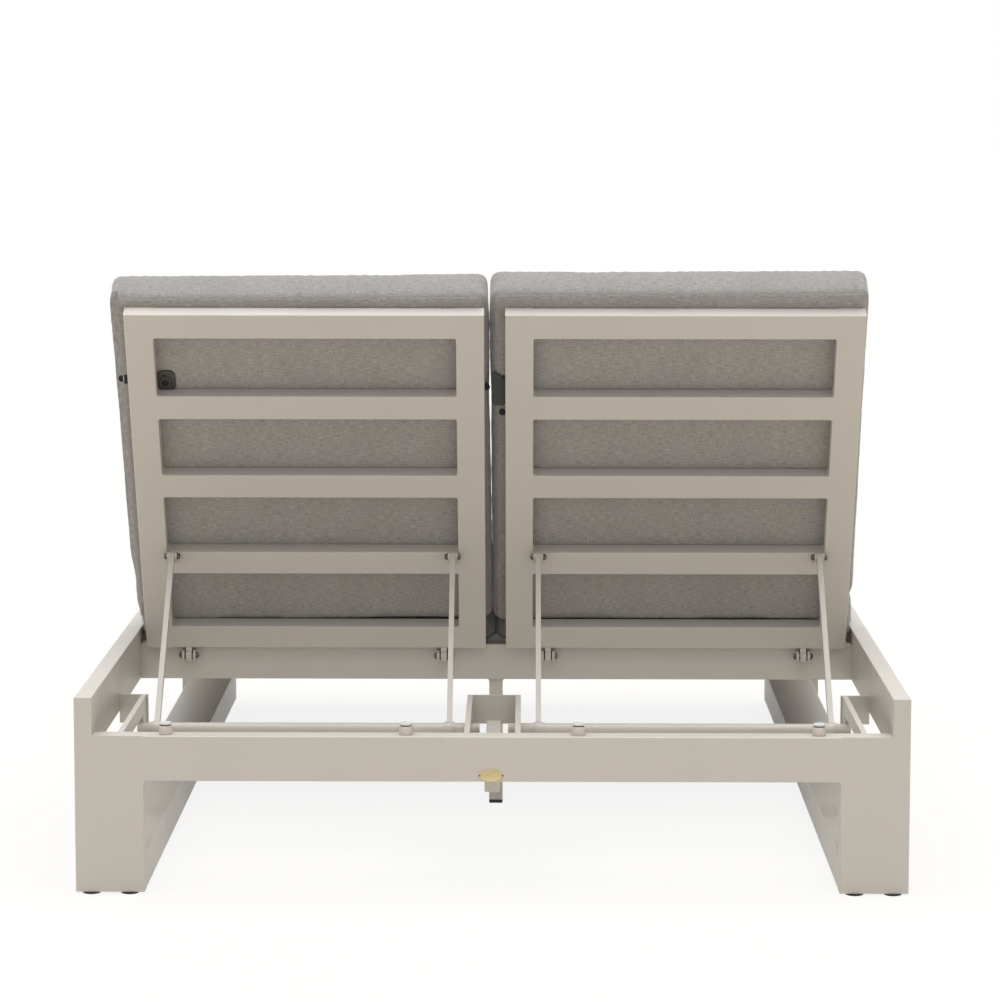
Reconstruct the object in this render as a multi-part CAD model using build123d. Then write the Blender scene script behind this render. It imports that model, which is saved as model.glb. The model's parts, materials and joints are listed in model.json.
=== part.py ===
from build123d import *
import math
import os

# Double chaise lounger: a low frame with two backrests that recline one by one.
# Millimetres, +Z up, floor at zero, X across the width, head end at -Y, foot end at +Y.
# Each backrest is drawn lying flat and then turned up about its hinge to where it leans at rest.

# Whole object
LENGTH = 2005
WIDTH = 1500
FRAME_HEIGHT = 358

# Aluminium tube
WALL = 1.6
EDGE_ROUND = 2
OVERRUN = 5

# Legs and cross beams of the head and foot portals
LEG_WIDTH = 124
PORTAL_DEPTH = 42
BEAM_DROP = 69
BEAM_HEIGHT = 82
WELD_RADIUS = 7

# Side rails and floor runners
RAIL_THICKNESS = 32
RAIL_HEIGHT = 102
RUNNER_WIDTH = 100
RUNNER_HEIGHT = 68

# Round glides under the legs
GLIDE_RADIUS = 16
GLIDE_HEIGHT = 4
GLIDE_CHAMFER = 1.5
GLIDE_SPACING = 69
GLIDE_STEM_RADIUS = 5
GLIDE_STEM_LENGTH = 10
STEM_CLEARANCE = 0.1

# Hinge beam and the leg under its middle
HINGE_BEAM_START = 806
HINGE_BEAM_DEPTH = 42
HINGE_BEAM_HEIGHT = 72
CENTER_LEG_WIDTH = 27
CENTER_CAP_HEIGHT = 7
CENTER_CAP_PLUG = 14
PLUG_CLEARANCE = 0.2

# Deck, where the flat backrests and the seat slats lie at one level
DECK_DROP = 16.6
MEMBER_THICKNESS = 30
STILE_WIDTH = 54
SLAT_WIDTH = 52
MIDDLE_GAP = 40
SIDE_GAP = 14
WINDOW_COUNT = 4
WINDOW_ROUND = 5
SEAT_SLAT_COUNT = 7
SEAT_SLAT_START = 18

# Backrest hinges: a knuckle on the backrest between two ears on the hinge beam
LEAN_ANGLE = 63.2
PIVOT_REACH = 14
PIVOT_DROP = 5.4
FRAME_START = 15.2
HINGE_OFFSET = 257
HINGE_RADIUS = 11
HINGE_BOLT_RADIUS = 4
HINGE_HEAD_RADIUS = 6.5
HINGE_HEAD_LENGTH = 4.5
KNUCKLE_WIDTH = 16
KNUCKLE_ROOT = 16
EAR_THICKNESS = 5
EAR_CLEARANCE = 0.5
BOLT_CLEARANCE = 0.06

# Folding stand: two flat bars and a round crossbar, pivoted on the backrest's fourth slat
STAND_SLAT = 1
STAND_PIVOT_UP = 49.5
STAND_PIVOT_DROP = 11
STAND_FOOT_START = 362
STAND_FOOT_DROP = 51.5
STAND_FLAT_RISE = 4.5
ARM_OFFSET = 277.5
ARM_THICKNESS = 10
ARM_WIDTH = 18
CROSSBAR_RADIUS = 10
CROSSBAR_WALL = 2
CROSSBAR_END_GAP = 27
BRACKET_THICKNESS = 4
BRACKET_RADIUS = 9
BRACKET_ROOT = 28
STAND_BOLT_RADIUS = 3
STAND_HEAD_RADIUS = 5.5
STAND_HEAD_LENGTH = 4

# Ratchet plates that the crossbars slide in, and the plates across their far ends
PLATE_THICKNESS = 10
PLATE_WEB = 15.1
PLATE_END_WEB = 57.6
PLATE_ROUND = 6
OUTER_PLATE_INSET = 47
INNER_PLATE_CENTER = 46
END_PLATE_HEIGHT = 55
END_PLATE_THICKNESS = 6
END_PLATE_LIP = 3
SLOT_CLEARANCE = 0.4
NOTCH_COUNT = 4
NOTCH_PITCH = 52
PATH_STEPS = 10
PATH_PROBE_SHARE = 0.001

# Beam behind the head beam that carries the inner ratchet plates
CENTER_BEAM_WIDTH = 28
CENTER_BEAM_HEIGHT = 60
CENTER_BEAM_DROP = 49
NOTCH_SIDE_CLEARANCE = 0.4

# Bumpers on the head beam that the flat backrests rest on
BUMPER_RADIUS = 12
BUMPER_GROOVE = 2.5
BUMPER_GROOVE_HEIGHT = 5
BUMPER_BASE_HEIGHT = 9
BUMPER_ROUND = 2
BUMPER_INNER_INSET = 135
BUMPER_OUTER_INSET = 116.5
REST_CLEARANCE = 0.3

# Cushions
CUSHION_THICKNESS = 99
CUSHION_CORNER = 26
CUSHION_SIDE_GAP = 2
CUSHION_MIDDLE_GAP = 24
CUSHION_OVERHANG = 18
CUSHION_FOOT = 72
CUSHION_CLEARANCE = 0.3
SEAT_CUSHION_START = 62
CROWN_HEIGHT = 10
CROWN_REACH = 150
SIDE_DRAW = 3
EDGE_SOFTNESS = 9
CORNER_DRAW_SHARE = 0.5
CROWN_RISE_SHARES = (0.55, 0.88, 1)
CROWN_REACH_SHARES = (0.3, 0.65, 1)

# Webbing straps behind the stiles
STRAP_WIDTH = 20
STRAP_THICKNESS = 1.6
STRAP_UP = 606
STRAP_REACH = 10
BUCKLE_WIDTH = 33
BUCKLE_LENGTH = 38
BUCKLE_THICKNESS = 7
BUCKLE_HOLE_RADIUS = 6
BUCKLE_ROUND = 5
TAIL_LENGTH = 62
TAIL_WIDTH = 10
TOGGLE_LENGTH = 19
TOGGLE_THICKNESS = 8
STRAP_CLEARANCE = 0.3

# Places that follow from the sizes above
HEAD_Y = -LENGTH / 2
FOOT_Y = LENGTH / 2
SIDE_X = WIDTH / 2
RAIL_INNER_X = SIDE_X - RAIL_THICKNESS
LEG_INNER_X = SIDE_X - LEG_WIDTH
RAIL_BOTTOM = FRAME_HEIGHT - RAIL_HEIGHT
BEAM_TOP = FRAME_HEIGHT - BEAM_DROP
BEAM_BOTTOM = BEAM_TOP - BEAM_HEIGHT
BEHIND_HEAD_Y = HEAD_Y + PORTAL_DEPTH
BEFORE_FOOT_Y = FOOT_Y - PORTAL_DEPTH
HINGE_BEAM_Y = HEAD_Y + HINGE_BEAM_START
HINGE_BEAM_END_Y = HINGE_BEAM_Y + HINGE_BEAM_DEPTH
HINGE_BEAM_TOP = RAIL_BOTTOM + HINGE_BEAM_HEIGHT
DECK_TOP = FRAME_HEIGHT - DECK_DROP
DECK_BOTTOM = DECK_TOP - MEMBER_THICKNESS
FRAME_INNER_X = MIDDLE_GAP / 2
FRAME_OUTER_X = RAIL_INNER_X - SIDE_GAP
FRAME_MIDDLE_X = (FRAME_INNER_X + FRAME_OUTER_X) / 2
HINGE_Y = HINGE_BEAM_Y - PIVOT_REACH
HINGE_Z = DECK_BOTTOM - PIVOT_DROP
FRAME_FOOT_Y = HINGE_Y - FRAME_START
FRAME_LENGTH = FRAME_FOOT_Y - HEAD_Y
SLAT_PITCH = (FRAME_LENGTH - SLAT_WIDTH) / WINDOW_COUNT
STAND_FOOT_HEIGHT = BEAM_TOP - STAND_FOOT_DROP
STAND_FLAT_HEIGHT = STAND_FOOT_HEIGHT + STAND_FLAT_RISE
PLATE_END_Y = HEAD_Y + STAND_FOOT_START + CROSSBAR_RADIUS + SLOT_CLEARANCE + PLATE_END_WEB
PLATE_BOTTOM = STAND_FOOT_HEIGHT - CROSSBAR_RADIUS - SLOT_CLEARANCE - PLATE_WEB
OUTER_PLATE_X = RAIL_INNER_X - OUTER_PLATE_INSET
CENTER_BEAM_TOP = BEAM_TOP - CENTER_BEAM_DROP
BUMPER_PLACES = (FRAME_INNER_X + BUMPER_INNER_INSET, FRAME_OUTER_X - BUMPER_OUTER_INSET)
CUSHION_BOTTOM = DECK_TOP + CUSHION_CLEARANCE
CUSHION_INNER_X = CUSHION_MIDDLE_GAP / 2
CUSHION_OUTER_X = RAIL_INNER_X - CUSHION_SIDE_GAP
STRAP_Y = FRAME_FOOT_Y - STRAP_UP - STRAP_WIDTH / 2
STRAP_TOP = DECK_TOP + STRAP_THICKNESS

SIDES = {"left": -1, "right": 1}


def block(x, y, z):
    """A box between the two ends given along each axis."""
    ends = (x, y, z)
    size = [abs(end - start) for start, end in ends]
    middle = [(start + end) / 2 for start, end in ends]
    return Pos(*middle) * Box(*size)


def tube(x, y, z, along, closed=False):
    """A rectangular tube with rounded long edges, open at its ends unless they are closed."""
    ends = [sorted(pair) for pair in (x, y, z)]
    outer = block(*ends)
    outer = fillet(outer.edges().filter_by(along), EDGE_ROUND)
    run = [Axis.X, Axis.Y, Axis.Z].index(along)
    hollow = [[start + WALL, end - WALL] for start, end in ends]
    if not closed:
        hollow[run] = [ends[run][0] - OVERRUN, ends[run][1] + OVERRUN]
    return outer - block(*hollow)


def across(radius, x, y, z):
    """A cylinder along X between the two ends given, with its axis at y and z."""
    start, end = sorted(x)
    return Pos((start + end) / 2, y, z) * Rot(0, 90, 0) * Cylinder(radius, end - start)


def plate_in_yz(outline, x):
    """A flat face drawn in the YZ plane, made into a plate between the two ends along X."""
    start, end = sorted(x)
    return Pos(start, 0, 0) * extrude(outline, end - start, dir=(1, 0, 0))


def yz_face(points):
    """A face in the YZ plane with straight sides through the points given as (y, z)."""
    face = make_face(Polyline(*[(0, y, z) for y, z in points], close=True)).face()
    return Sketch() + (face if face.normal_at().X > 0 else -face)


def yz_disc(radius, y, z):
    """A round face in the YZ plane."""
    return Pos(0, y, z) * (Plane.YZ * Circle(radius))


def direction(start, end):
    """The angle in degrees of the line from start to end in the YZ plane."""
    return math.degrees(math.atan2(end[1] - start[1], end[0] - start[0]))


def rounded_bar(radius, start, end):
    """A face in the YZ plane that runs from start to end with round ends."""
    middle_y = (start[0] + end[0]) / 2
    middle_z = (start[1] + end[1]) / 2
    bar = Plane.YZ * SlotOverall(math.dist(start, end) + 2 * radius, 2 * radius)
    return Pos(0, middle_y, middle_z) * Rot(direction(start, end), 0, 0) * bar


def tangent_point(center, radius, point, turn):
    """Where a line from a point outside a circle touches it, on the side that turn gives."""
    away = math.dist(center, point)
    spread = turn * math.acos(radius / away)
    toward = math.atan2(point[1] - center[1], point[0] - center[0])
    return center[0] + radius * math.cos(toward + spread), center[1] + radius * math.sin(toward + spread)


def lug(radius, hole, center, root_start, root_end):
    """A face in the YZ plane: a holed disc drawn out by its tangents to the two ends of its root."""
    start = (root_start[0] - center[0], root_start[1] - center[1])
    end = (root_end[0] - center[0], root_end[1] - center[1])
    turn = math.copysign(1, start[0] * end[1] - start[1] * end[0])
    outline = yz_face([
        center,
        tangent_point(center, radius, root_start, -turn),
        root_start,
        root_end,
        tangent_point(center, radius, root_end, turn),
    ])
    return outline + yz_disc(radius, *center) - yz_disc(hole, *center)


def raise_up(shape):
    """Turns a shape drawn with its backrest flat up to the lean that it has at rest."""
    return Pos(0, HINGE_Y, HINGE_Z) * Rot(-LEAN_ANGLE, 0, 0) * Pos(0, -HINGE_Y, -HINGE_Z) * shape


def turn_point(point, center, degrees):
    """A point given as (y, z), turned about a centre in the YZ plane."""
    angle = math.radians(degrees)
    y = point[0] - center[0]
    z = point[1] - center[1]
    turned_y = y * math.cos(angle) - z * math.sin(angle)
    turned_z = y * math.sin(angle) + z * math.cos(angle)
    return center[0] + turned_y, center[1] + turned_z


# Stand linkage: where its pivot and crossbar are with the backrest flat and at rest
HINGE_POINT = (HINGE_Y, HINGE_Z)
FLAT_PIVOT = (FRAME_FOOT_Y - STAND_SLAT * SLAT_PITCH - STAND_PIVOT_UP, DECK_BOTTOM - STAND_PIVOT_DROP)
REST_PIVOT = turn_point(FLAT_PIVOT, HINGE_POINT, -LEAN_ANGLE)
REST_FOOT = (HEAD_Y + STAND_FOOT_START, STAND_FOOT_HEIGHT)
ARM_LENGTH = math.dist(REST_PIVOT, REST_FOOT)
FLAT_RUN = math.sqrt(ARM_LENGTH ** 2 - (FLAT_PIVOT[1] - STAND_FLAT_HEIGHT) ** 2)
FLAT_FOOT = (FLAT_PIVOT[0] - FLAT_RUN, STAND_FLAT_HEIGHT)
ARM_TURN = (direction(FLAT_PIVOT, FLAT_FOOT) - direction(REST_PIVOT, REST_FOOT)) % 360 - 360
STAND_RATIO = (ARM_TURN - LEAN_ANGLE) / LEAN_ANGLE


def crossbar_place(share):
    """Where the crossbar's axis is when the backrest has gone a share of its way down to flat."""
    fall = share * LEAN_ANGLE
    pivot = turn_point(REST_PIVOT, HINGE_POINT, fall)
    foot = turn_point(REST_FOOT, HINGE_POINT, fall)
    return turn_point(foot, pivot, STAND_RATIO * fall)


def portal_leg(side, end_y, inward):
    """A wide leg with an upstand beside the side rail, hollow, with holes for its glides."""
    outer_x = side * SIDE_X
    inner_x = side * LEG_INNER_X
    step_x = side * RAIL_INNER_X
    outline = make_face(Polyline(
        (outer_x, 0, GLIDE_HEIGHT),
        (inner_x, 0, GLIDE_HEIGHT),
        (inner_x, 0, BEAM_TOP),
        (step_x, 0, BEAM_TOP),
        (step_x, 0, FRAME_HEIGHT),
        (outer_x, 0, FRAME_HEIGHT),
        close=True,
    ))
    solid = extrude(outline, PORTAL_DEPTH, dir=(0, inward, 0))
    solid = fillet(solid.edges().filter_by(Axis.Z), EDGE_ROUND)
    inner_outline = offset(outline, -WALL, kind=Kind.INTERSECTION)
    hollow = extrude(inner_outline, PORTAL_DEPTH - 2 * WALL, dir=(0, inward, 0))
    solid = Pos(0, end_y, 0) * (solid - Pos(0, inward * WALL, 0) * hollow)
    for x, y in glide_places(side, end_y, inward):
        solid -= Pos(x, y, GLIDE_HEIGHT) * Cylinder(GLIDE_STEM_RADIUS + STEM_CLEARANCE, 2 * (WALL + OVERRUN))
    return solid


def glide_places(side, end_y, inward):
    """The middles of the two glides under one leg."""
    middle_x = side * (SIDE_X + LEG_INNER_X) / 2
    middle_y = end_y + inward * PORTAL_DEPTH / 2
    return [(middle_x - GLIDE_SPACING / 2, middle_y), (middle_x + GLIDE_SPACING / 2, middle_y)]


def glide(x, y):
    """A round glide with a stem that goes up into the leg."""
    low = (Align.CENTER, Align.CENTER, Align.MIN)
    disc = Cylinder(GLIDE_RADIUS, GLIDE_HEIGHT, align=low)
    disc = chamfer(disc.edges().filter_by(GeomType.CIRCLE).sort_by(Axis.Z)[0], GLIDE_CHAMFER)
    stem = Cylinder(GLIDE_STEM_RADIUS, GLIDE_HEIGHT + GLIDE_STEM_LENGTH, align=low)
    return Pos(x, y, 0) * (disc + stem)


def weld_corner(x_side):
    """A fillet of weld that fills the corner between a vertical face and the underside above it."""
    corner = (Align.MIN if x_side > 0 else Align.MAX, Align.MAX)
    square = Plane.XZ * Rectangle(WELD_RADIUS, WELD_RADIUS, align=corner)
    bite = Pos(x_side * WELD_RADIUS, 0, -WELD_RADIUS) * (Plane.XZ * Circle(WELD_RADIUS))
    return square - bite


def portal_beam(start_y, end_y):
    """A cross beam between two legs, with a weld fillet at each lower corner."""
    beam = tube((-LEG_INNER_X, LEG_INNER_X), (start_y, end_y), (BEAM_BOTTOM, BEAM_TOP), Axis.X)
    for side in SIDES.values():
        corner = extrude(weld_corner(-side), end_y - start_y - 2 * EDGE_ROUND, dir=(0, 1, 0))
        beam += Pos(side * LEG_INNER_X, start_y + EDGE_ROUND, BEAM_BOTTOM) * corner
    return beam


def side_rail(side):
    """A deep rail between the upstands of the head and foot legs."""
    ends_x = (side * RAIL_INNER_X, side * SIDE_X)
    return tube(ends_x, (BEHIND_HEAD_Y, BEFORE_FOOT_Y), (RAIL_BOTTOM, FRAME_HEIGHT), Axis.Y)


def floor_runner(side):
    """A low tube between the head and foot legs, level with their inner faces."""
    outer_x = side * (LEG_INNER_X + RUNNER_WIDTH)
    top = GLIDE_HEIGHT + RUNNER_HEIGHT
    return tube((side * LEG_INNER_X, outer_x), (BEHIND_HEAD_Y, BEFORE_FOOT_Y), (GLIDE_HEIGHT, top), Axis.Y)


def hinge_beam():
    """The cross beam between the side rails that carries both backrests."""
    return tube(
        (-RAIL_INNER_X, RAIL_INNER_X), (HINGE_BEAM_Y, HINGE_BEAM_END_Y), (RAIL_BOTTOM, HINGE_BEAM_TOP), Axis.X
    )


def center_leg():
    """A square leg under the middle of the hinge beam, with weld fillets at its top."""
    half = CENTER_LEG_WIDTH / 2
    middle_y = (HINGE_BEAM_Y + HINGE_BEAM_END_Y) / 2
    leg = tube((-half, half), (middle_y - half, middle_y + half), (CENTER_CAP_HEIGHT, RAIL_BOTTOM), Axis.Z)
    depth = CENTER_LEG_WIDTH - 2 * EDGE_ROUND
    for side in SIDES.values():
        corner = extrude(weld_corner(side), depth, dir=(0, 1, 0))
        leg += Pos(side * half, middle_y - depth / 2, RAIL_BOTTOM) * corner
    return leg


def center_leg_cap():
    """A rubber cap under the centre leg, with a plug that goes up inside it."""
    middle_y = (HINGE_BEAM_Y + HINGE_BEAM_END_Y) / 2
    low = (Align.CENTER, Align.CENTER, Align.MIN)
    foot = Box(CENTER_LEG_WIDTH, CENTER_LEG_WIDTH, CENTER_CAP_HEIGHT, align=low)
    foot = fillet(foot.edges().filter_by(Axis.Z), EDGE_ROUND)
    plug_width = CENTER_LEG_WIDTH - 2 * (WALL + PLUG_CLEARANCE)
    plug = Box(plug_width, plug_width, CENTER_CAP_HEIGHT + CENTER_CAP_PLUG, align=low)
    return Pos(0, middle_y, 0) * (foot + plug)


def center_beam():
    """The closed tube that runs back from the head beam under the inner ratchet plates."""
    half = CENTER_BEAM_WIDTH / 2
    end_y = PLATE_END_Y + END_PLATE_THICKNESS
    heights = (CENTER_BEAM_TOP - CENTER_BEAM_HEIGHT, CENTER_BEAM_TOP)
    return tube((-half, half), (BEHIND_HEAD_Y, end_y), heights, Axis.Y, closed=True)


def below_path(share, reach):
    """The point that lies square below the crossbar's path at a share of its travel."""
    place = crossbar_place(share)
    ahead = crossbar_place(share + PATH_PROBE_SHARE)
    behind = crossbar_place(share - PATH_PROBE_SHARE)
    heading = math.radians(direction(behind, ahead))
    return place[0] - reach * math.sin(heading), place[1] + reach * math.cos(heading)


def slot_opening():
    """The opening in a ratchet plate: a channel along the crossbar's path and notches below it."""
    reach = CROSSBAR_RADIUS + SLOT_CLEARANCE
    path = [crossbar_place(step / PATH_STEPS) for step in range(PATH_STEPS + 1)]
    top = max(z for _, z in path) + reach
    floor = [below_path(step / PATH_STEPS, reach) for step in range(PATH_STEPS + 1)]
    ends = [(FLAT_FOOT[0] - reach, FLAT_FOOT[1]), (FLAT_FOOT[0] - reach, top), (REST_FOOT[0] + reach, top)]
    opening = yz_face(floor + ends) + yz_disc(reach, *FLAT_FOOT)
    for index in range(NOTCH_COUNT):
        y = REST_FOOT[0] - index * NOTCH_PITCH
        opening += rounded_bar(reach, (y, STAND_FOOT_HEIGHT), (y, top - reach))
    return opening


def ratchet_plate(side, middle):
    """A slotted plate behind the head beam that one end of a crossbar runs in."""
    outline = yz_face([
        (BEHIND_HEAD_Y, PLATE_BOTTOM),
        (PLATE_END_Y, PLATE_BOTTOM),
        (PLATE_END_Y, BEAM_TOP),
        (BEHIND_HEAD_Y, BEAM_TOP),
    ])
    low_corner = outline.vertices().sort_by(Axis.Z)[:2].sort_by(Axis.Y)[-1]
    outline = fillet(low_corner, PLATE_ROUND)
    start = side * (middle - PLATE_THICKNESS / 2)
    end = side * (middle + PLATE_THICKNESS / 2)
    return plate_in_yz(outline - slot_opening(), (start, end))


def outer_end_plate(side):
    """The plate that ties the far end of an outer ratchet plate to the side rail."""
    inner_x = OUTER_PLATE_X - PLATE_THICKNESS / 2 - END_PLATE_LIP
    return block(
        (side * inner_x, side * RAIL_INNER_X),
        (PLATE_END_Y, PLATE_END_Y + END_PLATE_THICKNESS),
        (BEAM_TOP - END_PLATE_HEIGHT, BEAM_TOP),
    )


def center_end_plate():
    """The plate across the far ends of the inner ratchet plates, notched over the centre beam."""
    half = INNER_PLATE_CENTER + PLATE_THICKNESS / 2
    ends_y = (PLATE_END_Y, PLATE_END_Y + END_PLATE_THICKNESS)
    bottom = BEAM_TOP - END_PLATE_HEIGHT
    notch = CENTER_BEAM_WIDTH / 2 + NOTCH_SIDE_CLEARANCE
    cut_y = (ends_y[0] - OVERRUN, ends_y[1] + OVERRUN)
    plate = block((-half, half), ends_y, (bottom, BEAM_TOP))
    return plate - block((-notch, notch), cut_y, (bottom - OVERRUN, CENTER_BEAM_TOP))


def seat_beam():
    """The closed tube along the middle of the seat deck, lying on the foot beam."""
    ends_x = (-FRAME_INNER_X, FRAME_INNER_X)
    return tube(ends_x, (HINGE_BEAM_END_Y, FOOT_Y), (BEAM_TOP, DECK_TOP), Axis.Y, closed=True)


def seat_slats(side):
    """The cross slats of one seat, from the seat beam to the side rail."""
    first_y = HINGE_BEAM_END_Y + SEAT_SLAT_START
    pitch = (FOOT_Y - SLAT_WIDTH - first_y) / (SEAT_SLAT_COUNT - 1)
    slats = []
    for index in range(SEAT_SLAT_COUNT):
        y = first_y + index * pitch
        ends_x = (side * FRAME_INNER_X, side * RAIL_INNER_X)
        slats.append(tube(ends_x, (y, y + SLAT_WIDTH), (DECK_BOTTOM, DECK_TOP), Axis.X))
    return Compound(slats)


def bumper(x):
    """A round bumper with a groove round it, standing on the head beam."""
    top = DECK_BOTTOM - REST_CLEARANCE
    waist = BUMPER_RADIUS - BUMPER_GROOVE
    groove_bottom = BEAM_TOP + BUMPER_BASE_HEIGHT
    groove_top = groove_bottom + BUMPER_GROOVE_HEIGHT
    outline = make_face(Polyline(
        (0, 0, BEAM_TOP), (BUMPER_RADIUS, 0, BEAM_TOP), (BUMPER_RADIUS, 0, groove_bottom),
        (waist, 0, groove_bottom), (waist, 0, groove_top), (BUMPER_RADIUS, 0, groove_top),
        (BUMPER_RADIUS, 0, top - BUMPER_ROUND), (BUMPER_RADIUS - BUMPER_ROUND, 0, top), (0, 0, top),
        close=True,
    ))
    return Pos(x, HEAD_Y + PORTAL_DEPTH / 2, 0) * revolve(outline, Axis.Z)


def hinge_places(side):
    """The middles along X of the two hinges of one backrest."""
    return [side * (FRAME_MIDDLE_X - HINGE_OFFSET), side * (FRAME_MIDDLE_X + HINGE_OFFSET)]


def beside(middle, clear, thickness, sign):
    """The two ends along X of a plate that stands clear of a middle on one side of it."""
    start = middle + sign * clear
    return start, start + sign * thickness


def hinge_ears(side):
    """Two pairs of ears on the front of the hinge beam."""
    outline = yz_disc(HINGE_RADIUS, HINGE_Y, HINGE_Z) + yz_face([
        (HINGE_Y, HINGE_Z - HINGE_RADIUS), (HINGE_BEAM_Y, HINGE_Z - HINGE_RADIUS),
        (HINGE_BEAM_Y, HINGE_Z + HINGE_RADIUS), (HINGE_Y, HINGE_Z + HINGE_RADIUS),
    ])
    outline -= yz_disc(HINGE_BOLT_RADIUS + BOLT_CLEARANCE, HINGE_Y, HINGE_Z)
    clear = KNUCKLE_WIDTH / 2 + EAR_CLEARANCE
    ears = []
    for middle in hinge_places(side):
        for sign in (-1, 1):
            ears.append(plate_in_yz(outline, beside(middle, clear, EAR_THICKNESS, sign)))
    return Compound(ears)


def bolt(middle, half_grip, radius, head_radius, head_length, y, z):
    """A bolt across two ears, with a head and a nut outside them."""
    shaft = across(radius, (middle - half_grip, middle + half_grip), y, z)
    for sign in (-1, 1):
        shaft += across(head_radius, beside(middle, half_grip, head_length, sign), y, z)
    return shaft


def hinge_bolts(side):
    """The two bolts that one backrest turns on."""
    grip = KNUCKLE_WIDTH / 2 + EAR_CLEARANCE + EAR_THICKNESS
    return Compound([
        bolt(middle, grip, HINGE_BOLT_RADIUS, HINGE_HEAD_RADIUS, HINGE_HEAD_LENGTH, HINGE_Y, HINGE_Z)
        for middle in hinge_places(side)
    ])


def knuckles(side):
    """The two tabs under the backrest's bottom rail that turn on the hinge bolts."""
    root_end = (FRAME_FOOT_Y, DECK_BOTTOM + KNUCKLE_ROOT)
    hole = HINGE_BOLT_RADIUS + BOLT_CLEARANCE
    outline = lug(HINGE_RADIUS, hole, HINGE_POINT, (FRAME_FOOT_Y, DECK_BOTTOM), root_end)
    half = KNUCKLE_WIDTH / 2
    return Compound([
        raise_up(plate_in_yz(outline, (middle - half, middle + half))) for middle in hinge_places(side)
    ])


def slat_span(index):
    """The two ends along Y of one cross member of a flat backrest, counted from its foot."""
    start = FRAME_FOOT_Y - index * SLAT_PITCH
    return start - SLAT_WIDTH, start


def stile(side, outer):
    """A tube along one edge of the backrest, closed at both ends."""
    edge = FRAME_OUTER_X if outer else FRAME_INNER_X
    inside = edge - STILE_WIDTH if outer else edge + STILE_WIDTH
    ends_y = (HEAD_Y, FRAME_FOOT_Y)
    return raise_up(tube((side * edge, side * inside), ends_y, (DECK_BOTTOM, DECK_TOP), Axis.Y, closed=True))


def cross_member(side, index):
    """A tube between the stiles, with weld fillets in the window corners beside it."""
    inner_x = FRAME_INNER_X + STILE_WIDTH
    outer_x = FRAME_OUTER_X - STILE_WIDTH
    start, end = slat_span(index)
    member = tube((side * inner_x, side * outer_x), (start, end), (DECK_BOTTOM, DECK_TOP), Axis.X)
    thickness = MEMBER_THICKNESS - 2 * EDGE_ROUND
    middle_z = (DECK_BOTTOM + DECK_TOP) / 2
    for x, toward in ((inner_x, 1), (outer_x, -1)):
        for y, away, open_side in ((start, -1, index < WINDOW_COUNT), (end, 1, index > 0)):
            if not open_side:
                continue
            align = (Align.MIN if side * toward > 0 else Align.MAX, Align.MIN if away > 0 else Align.MAX)
            corner = Rectangle(WINDOW_ROUND, WINDOW_ROUND, align=align)
            corner -= Pos(side * toward * WINDOW_ROUND, away * WINDOW_ROUND) * Circle(WINDOW_ROUND)
            member += Pos(side * x, y, middle_z) * extrude(corner, thickness / 2, both=True)
    return raise_up(member)


def stand_brackets(side):
    """Two pairs of ears under the fourth slat that hold the stand's arms."""
    root_start = (slat_span(STAND_SLAT)[0], DECK_BOTTOM)
    root_end = (root_start[0] + BRACKET_ROOT, DECK_BOTTOM)
    hole = STAND_BOLT_RADIUS + BOLT_CLEARANCE
    outline = lug(BRACKET_RADIUS, hole, FLAT_PIVOT, root_end, root_start)
    clear = ARM_THICKNESS / 2 + EAR_CLEARANCE
    ears = []
    for middle in arm_places(side):
        for sign in (-1, 1):
            ears.append(raise_up(plate_in_yz(outline, beside(middle, clear, BRACKET_THICKNESS, sign))))
    return Compound(ears)


def arm_places(side):
    """The middles along X of the inner and outer arm of one stand."""
    return [side * (FRAME_MIDDLE_X - ARM_OFFSET), side * (FRAME_MIDDLE_X + ARM_OFFSET)]


def stand_bolts(side):
    """The two bolts that the stand turns on."""
    grip = ARM_THICKNESS / 2 + EAR_CLEARANCE + BRACKET_THICKNESS
    return Compound([
        raise_up(bolt(middle, grip, STAND_BOLT_RADIUS, STAND_HEAD_RADIUS, STAND_HEAD_LENGTH, *FLAT_PIVOT))
        for middle in arm_places(side)
    ])


def stand_arm(middle):
    """A flat bar from its pivot down to the crossbar, cut to sit against the crossbar."""
    outline = rounded_bar(ARM_WIDTH / 2, REST_PIVOT, REST_FOOT)
    outline -= yz_disc(STAND_BOLT_RADIUS + BOLT_CLEARANCE, *REST_PIVOT)
    outline -= yz_disc(CROSSBAR_RADIUS, *REST_FOOT)
    return plate_in_yz(outline, (middle - ARM_THICKNESS / 2, middle + ARM_THICKNESS / 2))


def stand_crossbar(side):
    """The round tube across the stand's arms, closed at its ends, that rests in the notches."""
    inner_x = side * CROSSBAR_END_GAP
    outer_x = side * (OUTER_PLATE_X + PLATE_THICKNESS / 2)
    inside = (inner_x + side * CROSSBAR_WALL, outer_x - side * CROSSBAR_WALL)
    solid = across(CROSSBAR_RADIUS, (inner_x, outer_x), *REST_FOOT)
    return solid - across(CROSSBAR_RADIUS - CROSSBAR_WALL, inside, *REST_FOOT)


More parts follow.
